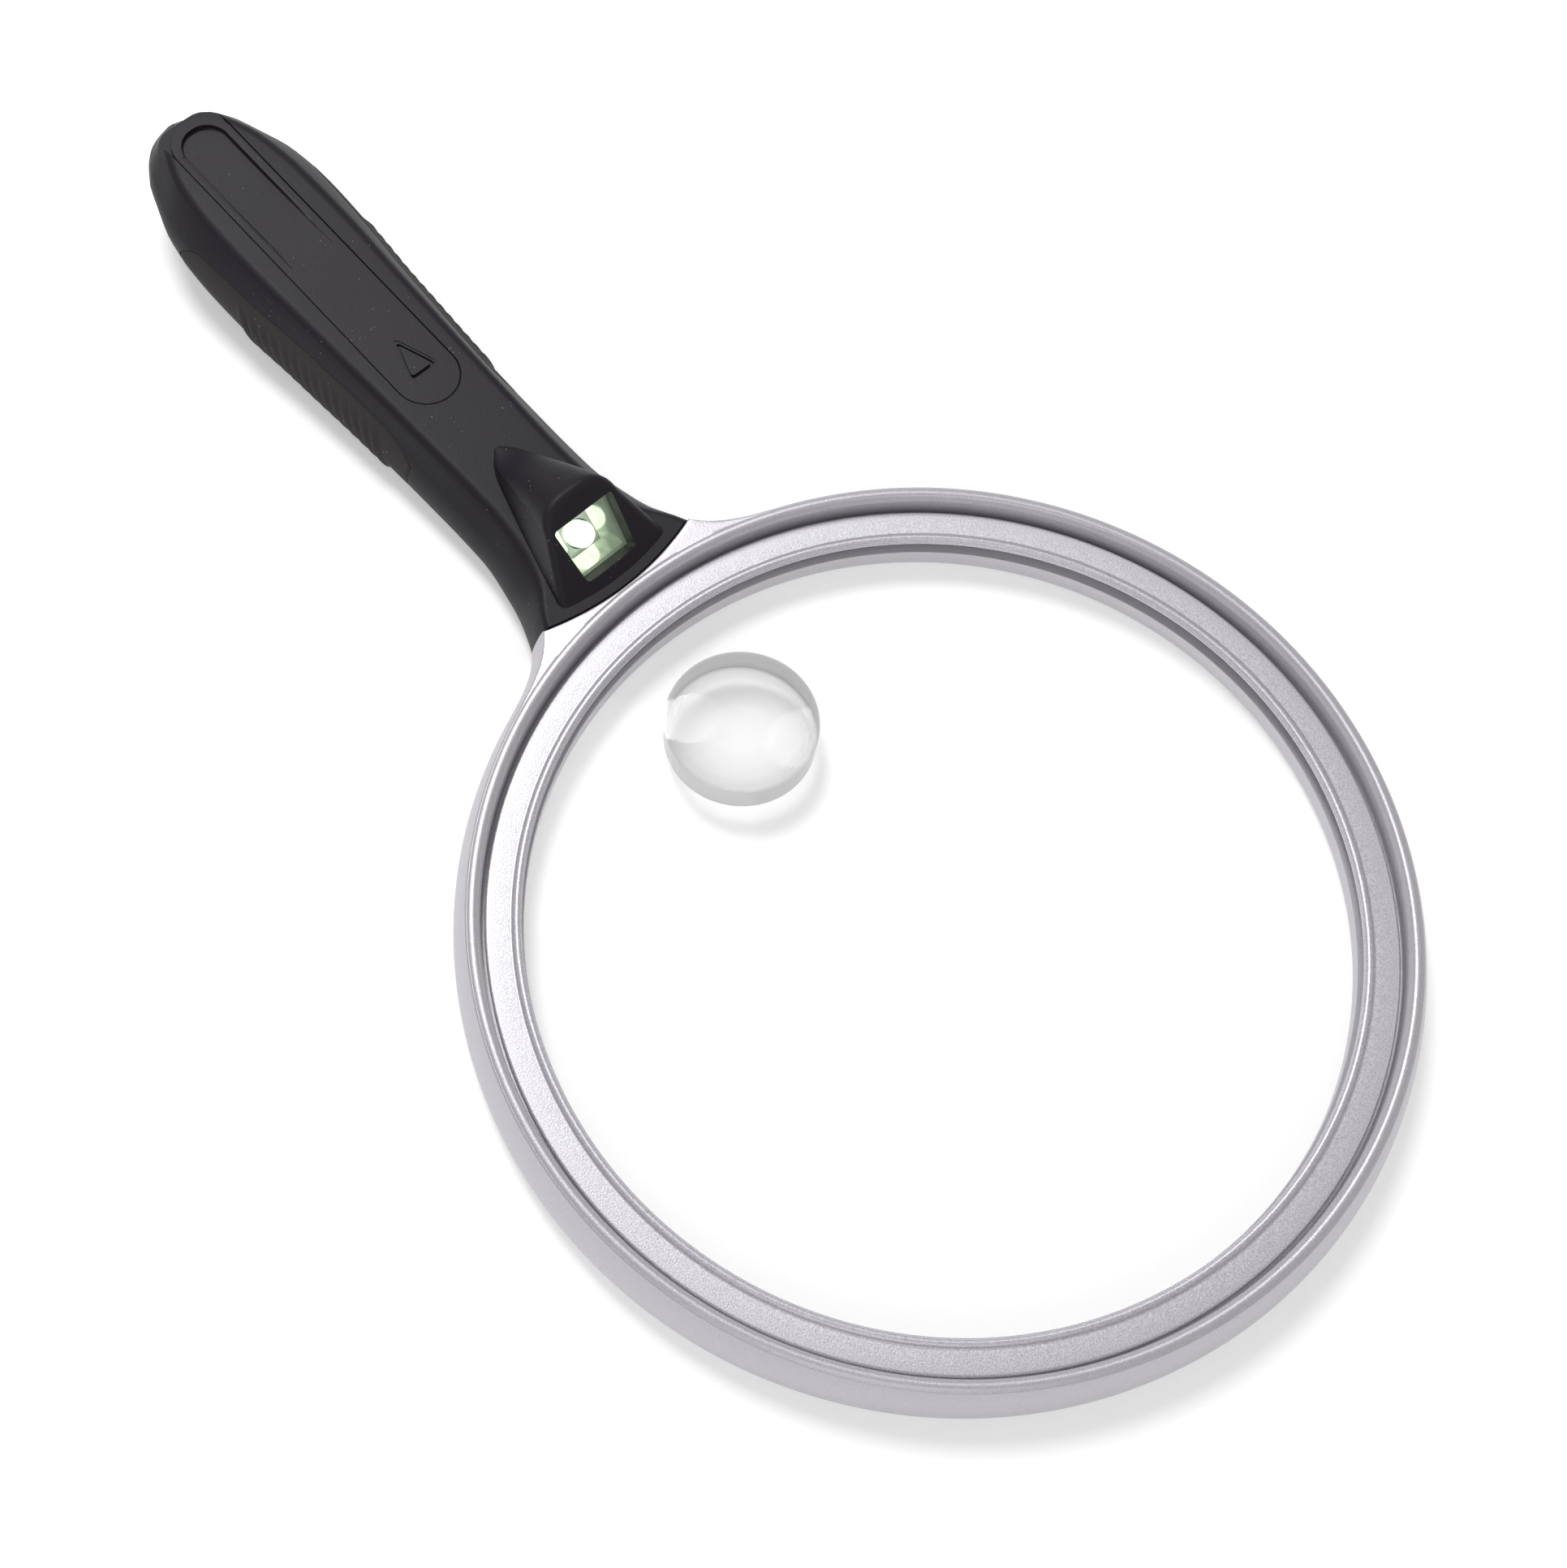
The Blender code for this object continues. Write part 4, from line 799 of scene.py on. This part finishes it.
def hood_solid():
    turns = [i / 8.0 * HOOD_SPRING for i in range(8)]
    turns += [HOOD_SPRING + (1 - HOOD_SPRING) * i / 22.0 for i in range(23)]
    rings = []
    plan = [(0.0, 1.25), (0.10, 0.85), (0.35, 0.45), (0.75, 0.17), (1.25, 0.0)]
    plan += [(1.25 + d, 0.0) for d in (1.2, 2.6, 4.2, *range(6, 25, 2), 25.5, 26.8, 27.8, 28.6, 29.2)]
    skins = []
    for depth, inset in plan:
        half = [hood_point(FRONT_C + depth, turn) for turn in turns]
        moved = []
        for i, (s, y, z) in enumerate(half):
            before, after = half[max(i - 1, 0)], half[min(i + 1, len(half) - 1)]
            run = Vector((after[1] - before[1], after[2] - before[2]))
            run = run.normalized() if run.length > 1e-9 else Vector((0, 1))
            new_y, new_z = max(y - run.y * inset * 0.9, 0.0), z + run.x * inset
            if i == len(half) - 1:
                new_y, new_z = 0.0, z - inset
            new_s = new_z + FRONT_C + depth + FRONT_BOW * new_y * new_y
            moved.append((new_s, new_y, new_z))
        skins.append(moved)
    front = skins[0]
    foot_z = front[0][2]
    for share in (0.15, 0.45, 0.75):
        inner = []
        for s, y, z in front:
            new_y, new_z = y * (1 - share), foot_z + (z - foot_z) * (1 - share)
            inner.append((new_z + FRONT_C + FRONT_BOW * new_y * new_y, new_y, new_z))
        skins.insert(0, inner)
    for half in skins:
        ring = [point(*p) for p in half]
        ring += [point(s, -y, z) for s, y, z in reversed(half[:-1])]
        rings.append(ring)
    return loft("hood", rings)


def side_point(s, z):
    """Half-width of the handle at s and height z, on its side."""
    above, below = smooth_section(s)
    half = above[8:] + below
    for a, b in zip(half, half[1:]):
        if b.y <= z <= a.y and a.y - b.y > 1e-9:
            return a.x + (b.x - a.x) * (a.y - z) / (a.y - b.y)
    return half[0].x if z > half[0].y else half[-1].x


def grip_solid(side, margin, outward, inward, ribbed):
    """A band on the handle's side, with slanted ribs; a margin makes the pocket that takes it."""
    start, end = GRIP_TOP[0][0] - margin, GRIP_TOP[-1][0] + margin
    step = 0.33 if ribbed else 1.2
    count = int((end - start) / step)
    rows = 26 if ribbed else 12
    rings = []
    for n in range(count + 1):
        s = start + (end - start) * n / count
        high, low = along(GRIP_TOP, s) + margin, along(GRIP_LOW, s) - margin
        outer, inner = [], []
        for i in range(rows):
            v = i / (rows - 1.0)
            z = high + (low - high) * v
            y = side_point(s, z)
            slope = (side_point(s, z - NORMAL_REACH) - side_point(s, z + NORMAL_REACH)) / (2 * NORMAL_REACH)
            normal = Vector((1.0, slope)).normalized()
            lift = outward
            if ribbed:
                phase = (s - 134.6 + 0.55 * (high - z)) / 2.65
                if 0.0 < phase < 14.0:
                    wave = max(0.0, math.sin(math.pi * (phase % 1.0)))
                    lift += 0.55 * wave ** 1.3 * smooth(0.10, 0.34, v) * (1.0 - smooth(0.93, 1.0, v))
                lift -= 0.25 * (1.0 - smooth(0.0, 0.05, v)) + 0.25 * smooth(0.95, 1.0, v)
                lift -= 0.25 * (1.0 - smooth(0.0, 0.5, s - start)) + 0.25 * smooth(-0.5, 0.0, s - end)
            outer.append(point(s, side * (y + normal.x * lift), z + normal.y * lift))
            inner.append(point(s, side * (y - normal.x * inward), z - normal.y * inward))
        rings.append(outer + inner[::-1])
    return loft("grip", rings)


def grip_pockets():
    return [grip_solid(side, SEAM, 3.0, 1.7, False) for side in (1, -1)]


def screw_posts(low_of, high_of, radius):
    return [cylinder("post", radius, s, y, low_of(s), high_of(s), 20) for s, y in HANDLE_SCREWS]


def screw_end(s):
    return {NECK_SCREWS[0][0]: 11.0, MID_SCREWS[0][0]: 12.3, BUTT_SCREW[0]: 16.0}[s]


def tang_slot():
    return box("tang_slot", (76.0, 90.0), (-12.3, 12.3), (TANG_Z[0] - 0.2, TANG_Z[1] + 0.2))


def build_top(paints):
    rings = []
    for s in stations():
        above, _ = smooth_section(s)
        half = [(p.x, p.y) for p in above]
        half[-1] = (half[-1][0], half[-1][1] + SEAM / 2)
        rings.append(mirrored(half, s))
    shell = loft("top", rings)
    shell = cut(shell, lens_side_of_join())
    shell = join(shell, hood_solid())
    cavity = cavity_solid()
    cavity = cut(cavity, *screw_posts(lambda s: TANG_Z[1] + 0.3 if s < 100 else 0.0,
                                      lambda s: 30.0, 2.7))
    cavity = cut(cavity, *[cylinder("boss", 1.9, s, y, BOARD_Z + BOARD_T + 0.3, 30.0, 16)
                           for s, y in BOARD_SCREWS])
    chamber = prism("chamber", lamp_outline(0.6), -10.2, -RECESS, LAMP_FRAME)
    flared = [(lamp_outline(0.0, 0.9), -RECESS - 0.5), (lamp_outline(0.0, 0.9), -0.55),
              (lamp_outline(0.08, 0.95), -0.25), (lamp_outline(0.3, 1.1), 0.1), (lamp_outline(0.9, 1.5), 0.7),
              (lamp_outline(0.9, 1.5), 8.0)]
    recess = layers("recess", flared, LAMP_FRAME)
    attic = loft("attic", [mirrored([(0.0, along(HOOD_ROOF, s) - 2.2),
                                     (along(HOOD_EDGE, s) - 2.6, along(HOOD_ROOF, s) - 2.8),
                                     (along(HOOD_EDGE, s) - 2.0, 9.0), (0.0, 9.0)], s)
                           for s in (97.5, 101.0, 106.0)])
    shell = cut(shell, cavity, chamber, attic, recess, *grip_pockets(), tang_slot())
    far = 136.0
    lip = prism("lip", stadium(DOOR_START - SEAM, 0, DOOR_W / 2 + SEAM, open_end=far), -DOOR_T - 0.25, 8.0,
                TOP_FRAME)
    groove = prism("groove", stadium(DOOR_START + 2.6, 0, DOOR_FLANGE_W / 2 + 0.3, open_end=far),
                   -DOOR_FLANGE_T - 0.25, -DOOR_T + 0.25, TOP_FRAME)
    well = box("well", (135.8, 191.6), (-5.6, 5.6), (8.0, 30.0))
    shell = cut(shell, lip, groove, well)
    holes = [cylinder("hole", SCREW_R + 0.1, s, y, 3.0, screw_end(s) + 0.3, 16)
             for s, y in HANDLE_SCREWS]
    holes += [cylinder("hole", 0.95, s, y, 5.0, 11.2, 12) for s, y in BOARD_SCREWS]
    finish(cut(shell, *holes), "top_shell", "frame", paints["black"], ("handle_top",))


def build_bottom(paints):
    rings = []
    for s in stations():
        _, below = smooth_section(s)
        half = [(p.x, p.y) for p in below]
        half[0] = (half[0][0], half[0][1] - SEAM / 2)
        rings.append(mirrored(half, s))
    shell = loft("bottom", rings)
    shell = cut(shell, lens_side_of_join())
    pad = box("pad", (100.0, 124.5), (-6.5, 6.5), (-3.0, 2.7))
    cavity = cut(cavity_solid(), pad,
                 *screw_posts(lambda s: -3.0, lambda s: TANG_Z[0] - 0.3 if s < 100 else 20.0, 3.6))
    shell = cut(shell, cavity, *grip_pockets(), tang_slot())
    low, high = SWITCH_S - 4.8, SWITCH_S + SWITCH_TRAVEL + 4.8
    rows = [(stadium(RING_X - high - 2.6 - m, RING_X - low + 2.6 + m, 4.2 + m), z)
            for m, z in ((0.35, -1.0), (0.35, -0.01), (0.1, 0.22), (0.0, 0.5), (0.0, 1.45))]
    window = layers("window", rows)
    slot = box("slot", (SWITCH_S - 2.7, SWITCH_S + SWITCH_TRAVEL + 2.7), (-1.9, 1.9), (0.5, 5.0))
    shell = cut(shell, window, slot)
    holes = []
    for s, y in HANDLE_SCREWS:
        seat = along(BOTTOM, s) + (BUTT_SEAT_DEPTH if s == BUTT_SCREW[0] else SEAT_DEPTH)
        holes.append(cylinder("counterbore", SCREW_HEAD_R + 0.45, s, y, -2.0, seat))
        holes.append(cylinder("clearance", SCREW_R + 0.3, s, y, -1.0, 14.0, 16))
    finish(cut(shell, *holes), "bottom_shell", "frame", paints["black"], ("handle_bottom",))


def build_grips(paints):
    for side, name, node in ((-1, "rubber_grip_left", "grip_left"), (1, "rubber_grip_right", "grip_right")):
        finish(grip_solid(side, 0.0, 0.06, 1.5, True), name, "frame", paints["rubber"],
               (node,), 50.0)


# ---------------------------------------------------------------- battery door

def trough():
    """Cutter for the thumb trough: no depth at its lens end, deepest near its rounded butt end."""
    end, half = DOOR_END - 2.4, 4.5
    start = 84.0
    places = [start + (end - half - start) * i / 24.0 for i in range(25)]
    places += [end - half + half * math.sin(math.pi / 2 * i / 14.0) for i in range(1, 15)]
    rings = []
    for a in places:
        width = half
        if a > end - half:
            width = math.sqrt(max(half * half - (a - end + half) ** 2, 0.0)) + 0.03
        depth = 0.95 * smooth(start, start + 24.0, a) - 0.01
        soft = min(0.22, 0.4 * width)
        section = [(width + 0.25, 3.0), (width + 0.25, 0.02), (width + 0.08, -0.06),
                   (width, -0.25 * depth - 0.02), (width - soft * 0.3, -depth + soft * 0.5),
                   (width - soft, -depth)]
        ring = section + [(-b, z) for b, z in reversed(section)]
        rings.append([TOP_FRAME @ (Vector((a, b, z)) * MM) for b, z in ring])
    return loft("trough", rings)


def build_door(paints):
    def outline(inset):
        return stadium(DOOR_START + inset, DOOR_END - inset, DOOR_W / 2 - inset)

    rows = [(outline(0.0), -DOOR_T), (outline(0.0), -0.22), (outline(0.05), -0.08), (outline(0.13), -0.02),
            (outline(0.25), 0.0)]
    door = layers("door", rows, TOP_FRAME)
    flange = prism("flange", stadium(DOOR_START + 3.0, DOOR_END - 2.0, DOOR_FLANGE_W / 2),
                   -DOOR_FLANGE_T, -DOOR_T + 0.01, TOP_FRAME)
    door = cut(join(door, flange), trough())
    outer = rounded([(62.3, 0.0), (52.3, 3.75), (52.3, -3.75)], 2.3, 9)
    inner = rounded([(60.0, 0.0), (53.6, 2.3), (53.6, -2.3)], 0.9, 7)
    between = rounded([(61.1, 0.0), (52.9, 3.05), (52.9, -3.05)], 1.4, 7)

    def moat(edge, depth):
        """Cutter for a recess round the triangle that stays standing in the middle."""
        return cut(prism("moat", edge, -depth, 0.5, TOP_FRAME), prism("island", inner, -1.0, 1.0, TOP_FRAME))

    door = cut(door, moat(outer, 0.16))
    door = cut(door, moat(between, 0.60))
    finish(door, "door_cover", "battery_door", paints["door"], ("battery_door",))


# ---------------------------------------------------------------- lamp

def build_lamp(paints):
    window = prism("window", lamp_outline(0.27, 0.5), -RECESS - 1.05, -RECESS - 0.15, LAMP_FRAME)
    finish(window, "clear_window", "frame", paints["window"], ("lamp_window",))
    body = prism("body", lamp_outline(0.27), -8.3, -4.45, LAMP_FRAME)
    floor_half = 3.2
    floor = [(-floor_half, -floor_half), (floor_half, -floor_half), (floor_half, floor_half),
             (-floor_half, floor_half)]
    bowl = layers("bowl", [(floor, -7.5), (lamp_outline(-0.2), -4.2)], LAMP_FRAME)
    seat = layers("seat", [(circle(2.75, 48), -9.0), (circle(2.75, 48), -7.3)], LAMP_FRAME)
    # The reflector's paint holds a painted glow that stands for the lamp's light reflected in it.
    finish(cut(body, bowl, seat), "reflector_painted_glow", "frame", paints["mirror"],
           ("lamp_reflector",), 20.0)
    rings = []
    for i in range(13):
        angle = math.pi / 2 * i / 12.0
        rings.append([LAMP_FRAME @ (Vector((a, b, -6.2 + 1.75 * math.sin(angle))) * MM)
                      for a, b in circle(max(2.4 * math.cos(angle), 0.05), 48)])
    base = [[LAMP_FRAME @ (Vector((a, b, z)) * MM) for a, b in circle(2.4, 48)] for z in (-8.25, -7.2)]
    finish(loft("dome", base + rings), "lit_dome", "frame", paints["lit"], ("lamp_led",), 60.0)


# ---------------------------------------------------------------- carried-over nodes

def paint_nodes(paints):
    chosen = {
        "lamp_board": "board", "driver_board": "board", "driver_coil": "copper",
        "driver_capacitor": "steel", "driver_chip": "dark", "driver_screw_1": "steel",
        "driver_screw_2": "steel", "switch_body": "steel", "switch_lever": "dark", "switch_knob": "slip",
        "battery_tray": "dark", "battery_cell": "jacket", "contact_positive": "steel",
        "contact_negative": "steel", "contact_spring": "steel", "wire_battery_positive": "red",
        "wire_battery_negative": "wire_black", "wire_lamp_positive": "red",
        "wire_lamp_negative": "wire_black", "neck_screw_1": "steel", "neck_screw_2": "steel",
        "handle_screw_1": "steel", "handle_screw_2": "steel", "butt_screw": "steel",
    }
    for node, paint in chosen.items():
        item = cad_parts[node]
        for slot in item.material_slots:
            slot.material = paints[paint]


# ---------------------------------------------------------------- stage and light

def build_stage():
    paint = Paint("floor_white", 0.85)
    tone = paint.noise(3.0, 2.0)
    paint.colour(paint.ramp(tone, [(0.3, (0.90, 0.90, 0.90)), (0.7, (0.91, 0.91, 0.91))]))
    paint.set("Emission Color", (1.0, 1.0, 1.0, 1.0))
    paint.set("Emission Strength", 0.28)
    points = [(-4.0, -4.0, -0.0001), (4.0, -4.0, -0.0001), (4.0, 4.0, -0.0001), (-4.0, 4.0, -0.0001)]
    floor = solid("floor", [Vector(p) for p in points], [(0, 1, 2, 3)])
    floor.data.materials.append(paint.item)


def area_light(name, place, target, size, power):
    lamp = bpy.data.lights.new(name, "AREA")
    lamp.shape = "DISK"
    lamp.size = size
    lamp.energy = power
    item = bpy.data.objects.new(name, lamp)
    bpy.context.scene.collection.objects.link(item)
    item.location = place
    item.rotation_euler = (Vector(target) - Vector(place)).to_track_quat("-Z", "Y").to_euler()


def build_light():
    scene = bpy.context.scene
    scene.view_settings.view_transform = "Standard"
    scene.view_settings.look = "None"
    world = bpy.data.worlds.new("studio")
    world.use_nodes = True
    world.node_tree.nodes["Background"].inputs["Color"].default_value = (1.0, 1.0, 1.0, 1.0)
    world.node_tree.nodes["Background"].inputs["Strength"].default_value = 0.44
    scene.world = world
    area_light("key", (-0.62, 0.18, 1.2), (0.05, 0.0, 0.0), 0.45, 9.0)
    area_light("fill", (0.9, -0.9, 1.2), (0.0, 0.0, 0.0), 1.2, 4.0)


place_camera()
PAINTS = make_paints()
build_ring(PAINTS)
build_retainer(PAINTS)
build_lenses(PAINTS)
build_top(PAINTS)
build_bottom(PAINTS)
build_grips(PAINTS)
build_door(PAINTS)
build_lamp(PAINTS)
paint_nodes(PAINTS)
build_stage()
build_light()
